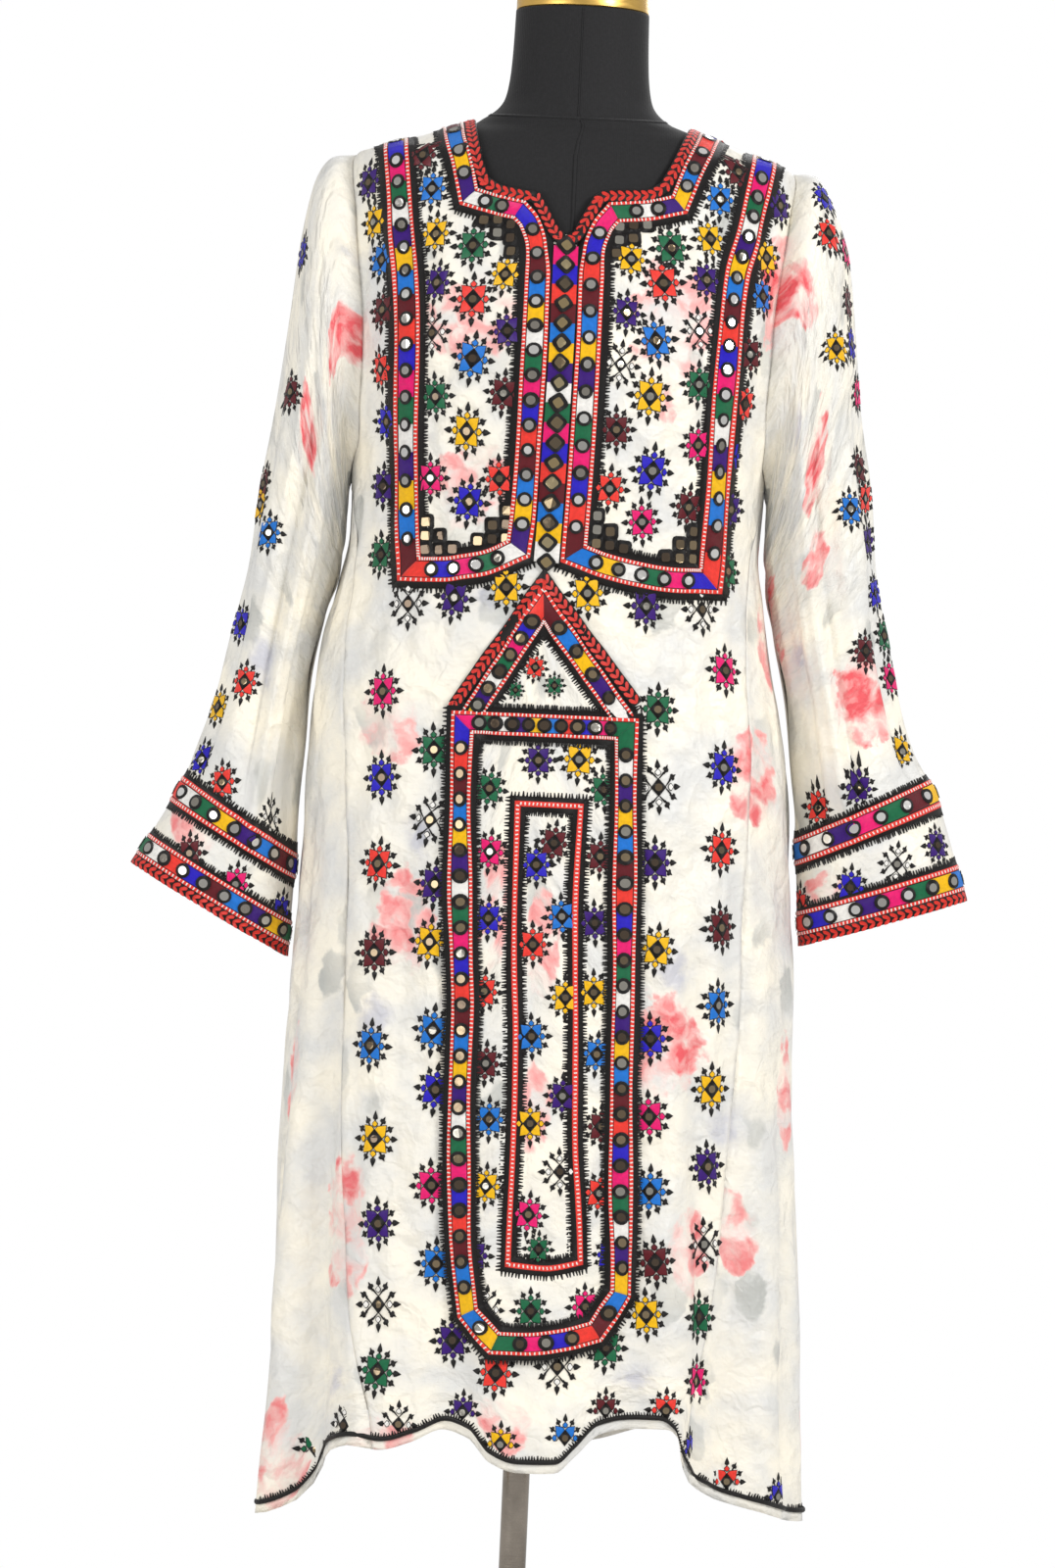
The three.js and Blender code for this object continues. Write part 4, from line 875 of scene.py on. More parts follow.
class Leg:
    """A stretch of a band on the front of the dress, measured along the cloth in millimetres."""

    def __init__(self, line, turn_start, turn_end):
        chord = np.concatenate([[0], np.cumsum(np.hypot(*np.diff(line[:, :2], axis=0).T))])
        rows = np.column_stack([chord, line])
        self.read = [curve(rows, column) for column in (1, 2, 3)]
        fine = np.linspace(0, chord[-1], max(40, int(chord[-1] * 2)))
        points = dress_point(*front_place(self.read[0](fine), self.read[1](fine)))
        self.fine = fine
        self.gone = lengths_to(points)
        self.length = self.gone[-1]
        self.shear = math.tan(turn_start / 2), math.tan(turn_end / 2)
        self.reach = min(MITRE_REACH, self.length / 2)
        self.surface = dress
        self.left = 1

    def place(self, f, share, extra=0.0):
        """Coordinates on the dress at `f` along, to the left by `share` of the half width and `extra` mm."""
        f, share, extra = np.broadcast_arrays(np.asarray(f, float), share, extra)
        at = np.interp(f, self.gone, self.fine)
        step = 0.5
        low, high = np.clip(at - step, 0, self.fine[-1]), np.clip(at + step, 0, self.fine[-1])
        along = np.stack([read(high) - read(low) for read in self.read[:2]], -1)
        along = unit(along)
        side = np.stack([-along[..., 1], along[..., 0]], -1)
        x, z = self.read[0](at), self.read[1](at)
        here = dress_point(*front_place(x, z))
        near = dress_point(*front_place(x + side[..., 0], z + side[..., 1]))
        stretch = np.clip(np.linalg.norm(near - here, axis=-1), 1, 3)
        out = share * self.read[2](at) / 2 + extra / stretch
        bend = out * (self.shear[0] * np.clip(1 - f / self.reach, 0, 1))
        bend = bend - out * (self.shear[1] * np.clip(1 - (self.length - f) / self.reach, 0, 1))
        return front_place(
            x + side[..., 0] * out + along[..., 0] * bend, z + side[..., 1] * out + along[..., 1] * bend
        )

    def cell_ends(self, count, shortened=0.0):
        """Where a stretch's cells end, the same length as seen from the front but for a slow change."""
        share = np.arange(count + 1) / count
        share = share * (1 - shortened) + shortened * share**2
        return np.interp(share * self.fine[-1], self.fine, self.gone)

    def heading(self, f, share=0.0):
        """Direction along the band in space."""
        ahead = dress_point(*self.place(np.minimum(f + 1, self.length), share))
        behind = dress_point(*self.place(np.maximum(f - 1, 0), share))
        return unit(ahead - behind)


class Ring:
    """A band that runs round a sleeve between two of its sections."""

    def __init__(self, surface, first, last):
        self.surface = surface
        self.middle = (first + last) / 2
        self.half = (last - first) / 2
        deg = np.linspace(0, 360, 721)
        points = surface.point(deg, np.full(721, self.middle))
        self.deg = deg
        self.gone = lengths_to(points)
        self.length = self.gone[-1]
        self.left = surface.sign

    def place(self, f, share, extra=0.0):
        f, share, extra = np.broadcast_arrays(np.asarray(f, float), share, extra)
        deg = np.interp(np.mod(f, self.length), self.gone, self.deg)
        deg = np.where(f >= self.length, 360.0, deg)
        step = 0.05
        near = self.surface.point(deg, np.full(deg.shape, self.middle + step))
        here = self.surface.point(deg, np.full(deg.shape, self.middle))
        per_section = np.linalg.norm(near - here, axis=-1) / step
        return deg, self.middle + share * self.half + extra / per_section

    def heading(self, f, share=0.0):
        ahead = self.surface.point(*self.place(np.mod(f + 1, self.length), share))
        behind = self.surface.point(*self.place(np.mod(f - 1, self.length), share))
        return unit(ahead - behind)


class HemLine:
    """A line that runs round the skirt above its hem."""

    def __init__(self, above):
        self.surface = dress
        self.left = 1
        self.above = above
        self.deg = np.linspace(-180, 180, 1441)
        points = dress_point(self.deg, hem(self.deg) + above)
        self.gone = lengths_to(points)
        self.length = self.gone[-1]

    def place(self, f, share, extra=0.0):
        f, share, extra = np.broadcast_arrays(np.asarray(f, float), share, extra)
        deg = np.interp(f, self.gone, self.deg)
        return deg, hem(deg) + self.above + share * CHAIN_HALF + extra

    def heading(self, f, share=0.0):
        ahead = dress_point(*self.place(np.minimum(f + 1, self.length), share))
        behind = dress_point(*self.place(np.maximum(f - 1, 0), share))
        return unit(ahead - behind)


CHAIN_HALF = 2.0  # half width of the black chain stitch above the hem


class Stitches:
    """Stitched shapes gathered into one piece, with a thread colour for each face."""

    def __init__(self):
        self.bm = bmesh.new()
        self.points, self.flat, self.colours = [], [], []

    def add(self, mesh, count, points, flat, colours):
        for _ in range(count):
            self.bm.from_mesh(mesh)
        self.points.append(points.reshape(-1, 3))
        self.flat.append(flat.reshape(-1, 2))
        self.colours.append(colours.reshape(-1, 3))

    def strip(self, leg, profile, rows, ends=None):
        """Strip along a band: `profile` has the share, extra, lift and colour name of each gap.

        `rows` has each row's colours, and `ends` says where the cells end, if the rows belong to cells.
        """
        share, extra, lift = (np.array([row[k] for row in profile], float) for k in range(3))
        count = len(rows)
        bm, across, down = grid_mesh(len(profile) - 1, count, flip=leg.surface.sign < 0)
        mesh = mesh_from(bm, "strip")
        column = np.rint(across * (len(profile) - 1)).astype(int)
        f = leg.length * down
        if ends is not None:
            f = np.interp(down * (len(ends) - 1), np.arange(len(ends)), ends)
        # Rows run down the grid and columns to its right, so the band's left is the grid's last column.
        u, v = leg.place(f, share[column], extra[column])
        points = leg.surface.lifted(u, v, lift[column])
        flat = np.stack([f, (share * 10 + extra)[column]], -1) * MM
        centres = np.array([p.center[:2] for p in mesh.polygons])
        gap = np.floor((centres[:, 0] + 0.5) * (len(profile) - 1)).astype(int)
        row = np.floor((0.5 - centres[:, 1]) * count).astype(int)
        colours = np.array([[rows[r][profile[g][3]] for g in range(len(profile) - 1)] for r in range(count)])
        self.add(mesh, 1, points, flat, colours[row, gap])
        bpy.data.meshes.remove(mesh)

    def copies(self, template, surface, u, v, colours, heading=None, turn=0.0, size=1.0, lift=0.0):
        """Copies of a template laid flat on a surface; `colours` gives each copy's palette."""
        count = len(u)
        if not count:
            return
        turn = np.broadcast_to(np.asarray(turn, float), (count,))
        size = np.broadcast_to(np.asarray(size, float), (count,))[:, None]
        right, up = template.right[None] * size, template.up[None] * size
        at_u, at_v = surface.patch(u, v, right, up, turn, heading)
        points = surface.lifted(at_u, at_v, template.lift[None] + np.broadcast_to(lift, (count,))[:, None])
        flat = np.broadcast_to(template.stitch, (count, *template.stitch.shape)) * MM
        palette = np.array(colours, float).reshape(count, -1, 3)
        self.add(template.mesh, count, points, flat, palette[:, template.parts])

    def piece(self, name, finish, thickness, slot_name="embroidery"):
        mesh = mesh_from(self.bm, name)
        set_places(mesh, np.concatenate(self.points))
        corners = corner_vertices(mesh)
        flat = np.concatenate(self.flat)[corners]
        mesh.uv_layers.new(name="stitch").uv.foreach_set("vector", flat.astype(np.float32).ravel())
        sides = np.array([len(p.vertices) for p in mesh.polygons])
        colours = np.repeat(np.concatenate(self.colours), sides, axis=0)
        set_corners(mesh, "thread", np.column_stack([colours, np.ones(len(colours))]))
        made = finish_piece(name, mesh, finish, slot_name)
        if "mirrors" in name:
            mesh.shade_flat()
        return thicken(made, thickness)


class Template:
    """A small flat mesh in millimetres, its relief, the part of each face and its stitch coordinates."""

    def __init__(self, name, bm, parts=None):
        bm.normal_update()
        self.mesh = mesh_from(bm, name)
        spots = np.array([v.co for v in self.mesh.vertices])
        self.right, self.up, self.lift = spots.T
        self.parts = np.zeros(len(self.mesh.polygons), int) if parts is None else np.array(parts)
        self.stitch = np.stack([self.right, self.up], -1)


def polygon(bm, corners, lift=0.0):
    """Flat face with these corners, anticlockwise."""
    return bm.faces.new([bm.verts.new((x, y, lift)) for x, y in corners])


def disc_template(radius, hole, sides, lift):
    """Round chip, or a ring with its middle filled."""
    bm = bmesh.new()
    bmesh.ops.create_circle(bm, cap_ends=True, segments=sides, radius=radius)
    face = bm.faces[:]
    if face[0].normal.z < 0:
        bmesh.ops.reverse_faces(bm, faces=face)
    bmesh.ops.inset_region(bm, faces=face, thickness=radius - hole, depth=0)
    for v in bm.verts:
        if v.co.xy.length < radius - 0.05:
            v.co.z = lift
    return Template("disc", bm)


def turned_copies(bm, geom, count):
    """Copies of some faces turned round the middle of a motif."""
    for k in range(1, count):
        made = bmesh.ops.duplicate(bm, geom=geom)["geom"]
        verts = [v for v in made if isinstance(v, bmesh.types.BMVert)]
        turn = Matrix.Rotation(2 * math.pi * k / count, 3, "Z")
        bmesh.ops.rotate(bm, verts=verts, cent=(0, 0, 0), matrix=turn)


# Outlines in a motif, in millimetres from its middle.
DIAMOND = ((0, -7.2), (7.2, 0), (0, 7.2), (-7.2, 0))
STAR_POINT = ((0.0, 7.3), (7.3, 0.0), (10.0, 2.6), (10.9, 10.9), (2.6, 10.0))
DROP = ((0, 8.6), (2.5, 10.0), (3.1, 12.0), (0, 14.6), (-3.1, 12.0), (-2.5, 10.0))
AXIS_SPRIG = (
    (-0.55, 13.2), (0.55, 13.2), (0.7, 14.6), (2.5, 15.6), (2.1, 17.8), (0, 21.8), (-2.1, 17.8), (-2.5, 15.6),
    (-0.7, 14.6),
)
SIDE_SPRIG = (
    (-0.6, 11.6), (0.6, 11.6), (0.8, 14.0), (2.7, 14.6), (2.4, 16.6), (1.1, 17.2), (0, 19.8), (-1.1, 17.2),
    (-2.4, 16.6), (-2.7, 14.6), (-0.8, 14.0),
)
SIDE_SPRIG_TURNS = (29, 61)
VINE = ((0.4, 6.8), (1.4, 6.8), (5.8, 10.4), (9.8, 12.0), (9.4, 13.2), (4.8, 11.8))
MOTIF_WIDE = 0.9
MOTIF_TALL = 1.06
RIM = 0.7
BLACK, FILL = 0, 1


def motif_template(open_work=False, half=False):
    """Star-shaped motif: a black diamond for its mirror, star points, drops and leaf sprigs."""
    bm = bmesh.new()
    part = bm.faces.layers.int.new("part")
    polygon(bm, DIAMOND, 0.25)
    quarter = [polygon(bm, DROP, 0.15)]
    if not open_work:
        quarter.append(polygon(bm, STAR_POINT, 0.15))
    for face in quarter:
        face[part] = FILL
    plain = [polygon(bm, AXIS_SPRIG, 0.1)]
    if open_work:
        plain += [polygon(bm, VINE, 0.1), polygon(bm, [(-x, y) for x, y in reversed(VINE)], 0.1)]
    for degrees in SIDE_SPRIG_TURNS:
        side = polygon(bm, SIDE_SPRIG, 0.1)
        turn = Matrix.Rotation(math.radians(degrees), 3, "Z")
        bmesh.ops.rotate(bm, verts=side.verts, cent=(0, 0, 0), matrix=turn)
        plain.append(side)
    group = quarter + plain
    geom = group + [e for f in group for e in f.edges] + [v for f in group for v in f.verts]
    turned_copies(bm, geom, 4)
    fills = [f for f in bm.faces if f[part] == FILL]
    rims = bmesh.ops.inset_individual(bm, faces=fills, thickness=RIM, depth=0.25)["faces"]
    for face in rims:
        face[part] = BLACK
    if half:
        low = [f for f in bm.faces if f.calc_center_median().y < -2.5]
        bmesh.ops.delete(bm, geom=low, context="FACES")
    bmesh.ops.scale(bm, verts=bm.verts, vec=(MOTIF_WIDE, MOTIF_TALL, 1))
    parts = [f[part] for f in bm.faces]
    return Template("motif", bm, parts)


def quad_template(corners):
    bm = bmesh.new()
    polygon(bm, corners)
    return Template("stitch", bm)


LOBE = ((-2.6, 3.7), (-2.0, 2.0), (0.9, 0.2), (3.3, 0.15), (2.6, 1.7), (0.5, 3.6), (-1.4, 4.2))


def lobe_template(side):
    """One half of a plaited stitch of the braid."""
    bm = bmesh.new()
    corners = LOBE if side > 0 else [(x, -y) for x, y in reversed(LOBE)]
    face = polygon(bm, corners)
    bmesh.ops.inset_individual(bm, faces=[face], thickness=0.5, depth=0.5)
    return Template("lobe", bm)


def square_template(radius, hole, lift):
    """Square chip on its corner with rounded corners, or a frame with its middle filled."""
    bm = bmesh.new()
    bmesh.ops.create_circle(bm, cap_ends=True, segments=4, radius=radius)
    bmesh.ops.bevel(
        bm, geom=bm.verts[:], offset=radius * 0.32, offset_type="OFFSET", segments=2, profile=0.5,
        affect="VERTICES", material=-1,
    )
    face = bm.faces[:]
    if face[0].normal.z < 0:
        bmesh.ops.reverse_faces(bm, faces=face)
    bmesh.ops.inset_region(bm, faces=face, thickness=(radius - hole) * 0.7, depth=lift)
    return Template("square", bm)


DASH = ((-0.55, -1.2), (0.55, -1.2), (0.55, 1.2), (-0.55, 1.2))
SPIKE = ((-1.2, -0.8), (1.2, -0.8), (0.45, 4.0), (-0.4, 4.0))
MIRROR_RADIUS = 3.6
RING_RADIUS = 6.1
GLASS = {
    "silver": ("#E4E2DE", "#B8B5AF", "#F6F4F1", "#9A948A"),
    "olive": ("#A8946C", "#85755A", "#B5A580", "#6E614F"),
    "brown": ("#7A6A54", "#5C4E40", "#968468", "#A8A49A"),
}


def glass_tones(rng, kind, count):
    tones = np.array([srgb(code) for code in GLASS[kind]])
    return tones[rng.integers(0, len(tones), count)]


def colour_setting(name, code, description):
    return FloatVectorProperty(
        name=name, description=description, subtype="COLOR", size=3, min=0, max=1, default=srgb(code)
    )


class SilkSettings(bpy.types.PropertyGroup):
    """Thickness and colours of the cloth."""

    wall: FloatProperty(
        name="Cloth thickness", description="Thickness of the dress's walls", default=0.0012, unit="LENGTH"
    )
    warm: colour_setting("Warm ground", "#FAF3E2", "Lightest white of the silk")
    cool: colour_setting("Cool ground", "#DFDEDA", "Greyer white of the silk")
    worn: colour_setting("Burnt-out ovals", "#B9BAB5", "Grey of the thinner ovals in the weave")
    leaf: colour_setting("Printed leaf", "#A8ABC4", "Grey blue of the printed leaves")
    rose_pale: colour_setting("Pale rose", "#F7C9C2", "Outer petals of the printed roses")
    rose_deep: colour_setting("Deep rose", "#EA5A60", "Inner petals of the printed roses")


class ThreadSettings(bpy.types.PropertyGroup):
    """Colours of the embroidery."""

    blue: colour_setting("Blue", "#2414C4", "Royal blue floss")
    magenta: colour_setting("Magenta", "#F40C74", "Magenta floss")
    green: colour_setting("Green", "#0C6A42", "Dark green floss")
    white: colour_setting("White", "#FAF7F1", "White floss")
    purple: colour_setting("Purple", "#380478", "Purple floss")
    yellow: colour_setting("Yellow", "#FFC400", "Yellow floss")
    sky: colour_setting("Sky", "#1478D8", "Sky blue floss")
    maroon: colour_setting("Maroon", "#620A18", "Maroon floss")
    red: colour_setting("Red", "#F83A2E", "Red floss and braid")
    black: colour_setting("Black", "#0D0908", "Black outlines")


CYCLE = ("blue", "magenta", "green", "white", "purple", "yellow", "sky", "maroon", "red")


def threads():
    settings = bpy.context.scene.dress_threads
    return {name: tuple(getattr(settings, name)) for name in (*CYCLE, "black")}


def finish(name):
    return bpy.data.materials[name]


def panel_place(side_a, side_b, top):
    """Place on the dress of each share of a panel: level rows at first, then rows that bend to the hem."""
    start = min(top, SHOULDER_ROWS_END)
    levels = np.concatenate([
        np.arange(top, SHOULDER_ROWS_END, -SHOULDER_ROW),
        np.linspace(start, HEM_ZONE, int((start - HEM_ZONE) / PANEL_ROW)),
    ])
    rows = len(levels) - 1 + HEM_ROWS

    def place(across, down):
        index = np.rint(down * rows).astype(int)
        low_deg = side_a(FOLD_FULL) + (side_b(FOLD_FULL) - side_a(FOLD_FULL)) * across
        bent = np.clip((index - len(levels) + 1) / HEM_ROWS, 0, 1)
        z = levels[np.minimum(index, len(levels) - 1)] + (hem(low_deg) - HEM_ZONE) * bent
        return side_a(z) + (side_b(z) - side_a(z)) * across, z

    return rows, place


SHOULDER_ROW = 1.6
SHOULDER_ROWS_END = 1384
PANEL_ROW = 4.8
HEM_ROWS = 18
SLEEVE_GRID = (110, 160)
POCKET_GRID = (48, 150)
POCKET_WALL = 1.1


class DRESS_OT_panels(bpy.types.Operator):
    """Front, back and the two gores of the dress"""

    bl_idname = "dress.panels"
    bl_label = "Dress panels"

    def execute(self, context):
        wall = context.scene.dress_silk.wall / MM
        silk = finish("printed_satin_silk")
        pieces = (
            ("front_panel", 84, PANEL_TOP, lambda z: -seam_line(z), seam_line, FRONT_NECK, front_place),
            ("back_panel", 68, PANEL_TOP, lambda z: 180 - seam_line(z), lambda z: 180 + seam_line(z),
                BACK_NECK, back_place),
            ("gore_right", 36, UNDERARM, seam_line, lambda z: 180 - seam_line(z), None, None),
            ("gore_left", 36, UNDERARM, lambda z: 180 + seam_line(z), lambda z: 360 - seam_line(z),
                None, None),
        )
        for name, columns, top, side_a, side_b, neck, neck_place in pieces:
            rows, place = panel_place(side_a, side_b, top)
            mesh = lay_cloth(f"{name}_silk", columns, rows, place, dress, neck=neck, neck_place=neck_place)
            piece = thicken(finish_piece(f"{name}_silk", mesh, silk, "silk"), wall)
            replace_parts(piece, name)
        return {"FINISHED"}


class DRESS_OT_sleeves(bpy.types.Operator):
    """Both sleeves, open at the armhole and the cuff"""

    bl_idname = "dress.sleeves"
    bl_label = "Sleeves"

    def execute(self, context):
        wall = context.scene.dress_silk.wall / MM
        for hand, side in SIDES.items():
            mesh = lay_cloth(
                f"sleeve_{hand}_silk", *SLEEVE_GRID, lambda across, down: (across * 360, down * LAST_SECTION),
                SLEEVES[hand], flip=side < 0, ring=True,
            )
            piece = finish_piece(f"sleeve_{hand}_silk", mesh, finish("printed_satin_silk"), "silk")
            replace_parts(thicken(piece, wall), f"sleeve_{hand}")
        return {"FINISHED"}


POCKET_TOP = ((0, 940), (0.457, 1054), (1, 948))
POCKET_BOTTOM = ((0, 457), (0.22, 430), (0.4, 430), (0.8, 441), (1, 476))
POCKET_LIFT = 1.9
pocket_sides = [curve(POCKET_SIDES, column) for column in (1, 2)]
pocket = Surface(lambda deg, z: dress.lifted(deg, z, POCKET_LIFT), 0.4, 1.0)


class DRESS_OT_pocket(bpy.types.Operator):
    """Long pocket panel in the middle of the skirt"""

    bl_idname = "dress.pocket"
    bl_label = "Pocket panel"

    def execute(self, context):
        def place(across, down):
            top = np.interp(across, *zip(*POCKET_TOP))
            z = top + (np.interp(across, *zip(*POCKET_BOTTOM)) - top) * down
            left = pocket_sides[0](z)
            return front_place(left + (pocket_sides[1](z) - left) * across, z)

        mesh = lay_cloth("pocket_panel_silk", *POCKET_GRID, place, pocket)
        piece = finish_piece("pocket_panel_silk", mesh, finish("printed_satin_silk"), "silk")
        thicken(piece, POCKET_WALL)
        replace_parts(piece, "pocket_panel")
        return {"FINISHED"}


# A band's columns: share of its half width, millimetres beyond that, height above the cloth, colour.
BAND = (
    (-1, -4.2, 0.35, "black"), (-1, -0.2, 0.6, "black"), (-1, 0, 0.8, "edge"), (-0.84, 0, 1.45, "edge"),
    (-0.69, 0, 0.9, "black"), (-0.62, 0, 0.8, "satin"), (-0.4, 0, 1.3, "satin"), (0, 0, 1.5, "satin"),
    (0.4, 0, 1.3, "satin"), (0.62, 0, 0.8, "black"), (0.69, 0, 0.9, "edge"), (0.84, 0, 1.45, "edge"),
    (1, 0, 0.8, "black"), (1, 0.2, 0.6, "black"), (1, 4.2, 0.35, "black"),
)
# The middle band of the yoke has no red lines of its own.
PLAIN_BAND = (
    (-0.98, 0, 0.5, "black"), (-0.9, 0, 1.0, "satin"), (-0.4, 0, 1.5, "satin"), (0, 0, 1.7, "satin"),
    (0.4, 0, 1.5, "satin"), (0.9, 0, 1.0, "black"), (0.98, 0, 0.5, "black"),
)
LINE = (
    (-1, -2.6, 0.35, "black"), (-0.62, 0, 0.6, "edge"), (-0.3, 0, 1.2, "edge"), (0.3, 0, 1.2, "edge"),
    (0.62, 0, 0.6, "black"), (1, 2.6, 0.35, "black"),
)
CUFF_BAND = tuple((share, extra * 0.5, height, colour) for share, extra, height, colour in BAND)
BIB_BAND = tuple((share, extra * 1.3, height, colour) for share, extra, height, colour in BAND)
# Satin cells of each stretch of a band, one letter for each thread.
BAND_CELLS = {
    "bib_band_left": ("YBMGWPYSKRBMGWPYSK", "RBMGW", "PYSKRBMGWYSKRB", "MGW", "PYSK"),
    "bib_band_right": ("YBMGWPYSKRBMGWPYSKR", "BMGWYS", "KRBMGWPYSKRBM", "GWP", "YSKRB"),
    "centre_band": ("MBRKSYPWGMBRKSYW",),
    "pocket_peak_band": ("YPWGMBR", "KSYPW"),
    "pocket_frame_band": (
        "BRKSYPWGMBRKSYPWGMBRKSY", "SY", "GMBR", "KS", "YPWGMBRKSYPWGMBRKSYPWG", "GMBRSYPWGM",
    ),
}
THREAD_OF = dict(zip("BMGWPYSKR", CYCLE))
# How much shorter than the middle one the cells look near the shoulder, at the start or end of a stretch.
SHORTENED = {
    ("bib_band_left", 0): 0.2, ("bib_band_right", 0): 0.2,
    ("bib_band_left", 4): -0.1, ("bib_band_right", 4): -0.1,
}
BAND_LINES = {
    "bib_band_left": (BIB_LEFT, False), "bib_band_right": (BIB_RIGHT, False),
    "centre_band": (CENTRE, False), "pocket_peak_band": (PEAK, False),
    "pocket_frame_band": (FRAME, True), "pocket_inner_line": (INNER_LINE, True),
}
CELL_ROWS = 7
# Thickness of the pieces of stitches and of mirrors, in millimetres.
BAND_STITCH = 0.5
BAND_MIRROR = 0.4
MOTIF_STITCH = 0.35
MOTIF_MIRROR = 0.3
HEM_STITCH = 0.4
RED_LINES = (-0.84, 0.84)  # middles of a band's red lines, as shares of its half width
# How far beyond a band its black edge stitches start, in millimetres.
YOKE_EDGE = 5.0
POCKET_EDGE = 3.8
LINE_EDGE = 2.4
CUFF_EDGE = 1.9


def raised(profile, lift):
    return tuple((share, extra, height + lift, colour) for share, extra, height, colour in profile)


DASH_STEP = 3.3
SPIKE_STEP = 2.3


def dress_edges(work, leg, kit, thread, lift, shares, strip, rng):
    """White dashes along the red lines of a band, and black spikes along its edges."""
    f = np.arange(DASH_STEP / 2, leg.length, DASH_STEP)
    for share in shares:
        slant = rng.uniform(-0.25, 0.25, len(f))
        white = np.tile(thread["white"], (len(f), 1))
        u, v = leg.place(f, share)
        work.copies(kit["dash"], leg.surface, u, v, white, leg.heading(f, share), slant, lift=lift + 1.5)
    for side in (-1, 1):
        f = np.arange(SPIKE_STEP / 2, leg.length, SPIKE_STEP)
        f = np.clip(f + rng.uniform(-0.5, 0.5, len(f)), 0, leg.length)
        u, v = leg.place(f, side, side * strip)
        turn = rng.uniform(-0.14, 0.14, len(f)) + (0 if side * leg.left > 0 else math.pi)
        black = np.tile(thread["black"], (len(f), 1))
        size = rng.uniform(0.85, 1.1, len(f))
        work.copies(kit["spike"], leg.surface, u, v, black, leg.heading(f, side), turn, size, lift + 0.3)


def lay_mirrors(work, glass, leg, kit, thread, lift, f, kind, rng):
    """Ringed mirrors where one satin cell of a band meets the next."""
    u, v = leg.place(f, 0.0)
    heading = leg.heading(f)
    black = np.tile(thread["black"], (len(f), 1))
    ring, chip = ("square_ring", "square_chip") if kind == "olive" else ("ring", "chip")
    turn = rng.uniform(-0.15, 0.15, len(f))
    size = rng.uniform(0.95, 1.06, len(f))
    work.copies(kit[ring], leg.surface, u, v, black, heading, turn, size, lift + 2.1)
    tones = glass_tones(rng, kind, len(f))
    size = rng.uniform(0.92, 1.06, len(f))
    glass.copies(kit[chip], leg.surface, u, v, tones, heading, turn, size, lift + 2.4)


def finish_both(name, work, glass, stitch, mirror, cad_node=None):
    """Makes a group's stitches and its mirrors, if it has any, into pieces this thick."""
    piece = work.piece(f"{name}_stitches", finish("rayon_floss"), stitch)
    if cad_node:
        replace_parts(piece, cad_node)
    if glass.points:
        glass.piece(f"{name}_mirrors", finish("silvered_mirror_glass"), mirror)


def stitch_kit():
    return {
        "dash": quad_template(DASH), "spike": quad_template(SPIKE),
        "lobe": lobe_template(1), "lobe_back": lobe_template(-1),
        "ring": disc_template(RING_RADIUS, MIRROR_RADIUS, 14, 0.2),
        "chip": disc_template(MIRROR_RADIUS, MIRROR_RADIUS - 0.4, 14, 0.25),
        "square_ring": square_template(9.2, 5.0, 0.2), "square_chip": square_template(5.5, 5.0, 0.25),
        "motif": motif_template(), "open_motif": motif_template(open_work=True),
        "half_motif": motif_template(half=True), "open_half_motif": motif_template(open_work=True, half=True),
    }


class DRESS_OT_bands(bpy.types.Operator):
    """Embroidered bands of the yoke and the pocket, with their stitched edges and mirrors"""

    bl_idname = "dress.bands"
    bl_label = "Embroidered bands"

    def execute(self, context):
        thread = threads()
        kit = stitch_kit()
        rng = np.random.default_rng(21)
        for name, (rows, closed) in BAND_LINES.items():
            on_yoke = name.startswith(("bib", "centre"))
            lift = 0.4 if on_yoke else POCKET_LIFT + (0.7 if name == "pocket_frame_band" else 0)
            kind = {"bib": "silver", "centre": "olive"}.get(name.split("_")[0], "brown")
            work, glass = Stitches(), Stitches()
            legs = split_legs(rows, closed)
            cells = BAND_CELLS.get(name)
            for number, leg in enumerate(legs):
                plain = {"black": thread["black"], "edge": thread["red"]}
                if cells:
                    letters = cells[number]
                    ends = leg.cell_ends(len(letters), SHORTENED.get((name, number), 0.0))
                    names = [THREAD_OF[letter] for letter in letters for _ in range(CELL_ROWS)]
                    each = [{**plain, "satin": thread[satin]} for satin in names]
                    middle = name == "centre_band"
                    profile = PLAIN_BAND if middle else BIB_BAND if on_yoke else BAND
                    work.strip(leg, raised(profile, lift), each, ends)
                    seams = ends if middle else ends[1:-1]
                    lay_mirrors(work, glass, leg, kit, thread, lift, seams, kind, rng)
                    if not middle:
                        edge = YOKE_EDGE if on_yoke else POCKET_EDGE
                        dress_edges(work, leg, kit, thread, lift, RED_LINES, edge, rng)
                else:
                    work.strip(leg, raised(LINE, lift), [plain] * int(leg.length / 3))
                    dress_edges(work, leg, kit, thread, lift - 0.2, (0.0,), LINE_EDGE, rng)
            finish_both(name, work, glass, BAND_STITCH, BAND_MIRROR, name)
        return {"FINISHED"}


# Cuff bands: first and last section, and their cells as seen from the front, from the left.
CUFF_CELLS = {
    "cuff_band_upper_left": (11, 12, "red white green yellow purple sky maroon blue"),
    "cuff_band_lower_left": (13, 13.7, "green white red blue maroon sky purple yellow green"),
    "cuff_band_upper_right": (11, 12, "sky white purple magenta green maroon yellow"),
    "cuff_band_lower_right": (13, 13.7, "red blue white purple magenta green yellow sky"),
}
CUFF_BRAIDS = {"cuff_braid_left": (13.74, 14), "cuff_braid_right": (13.74, 14)}
CUFF_LIFT = 0.3


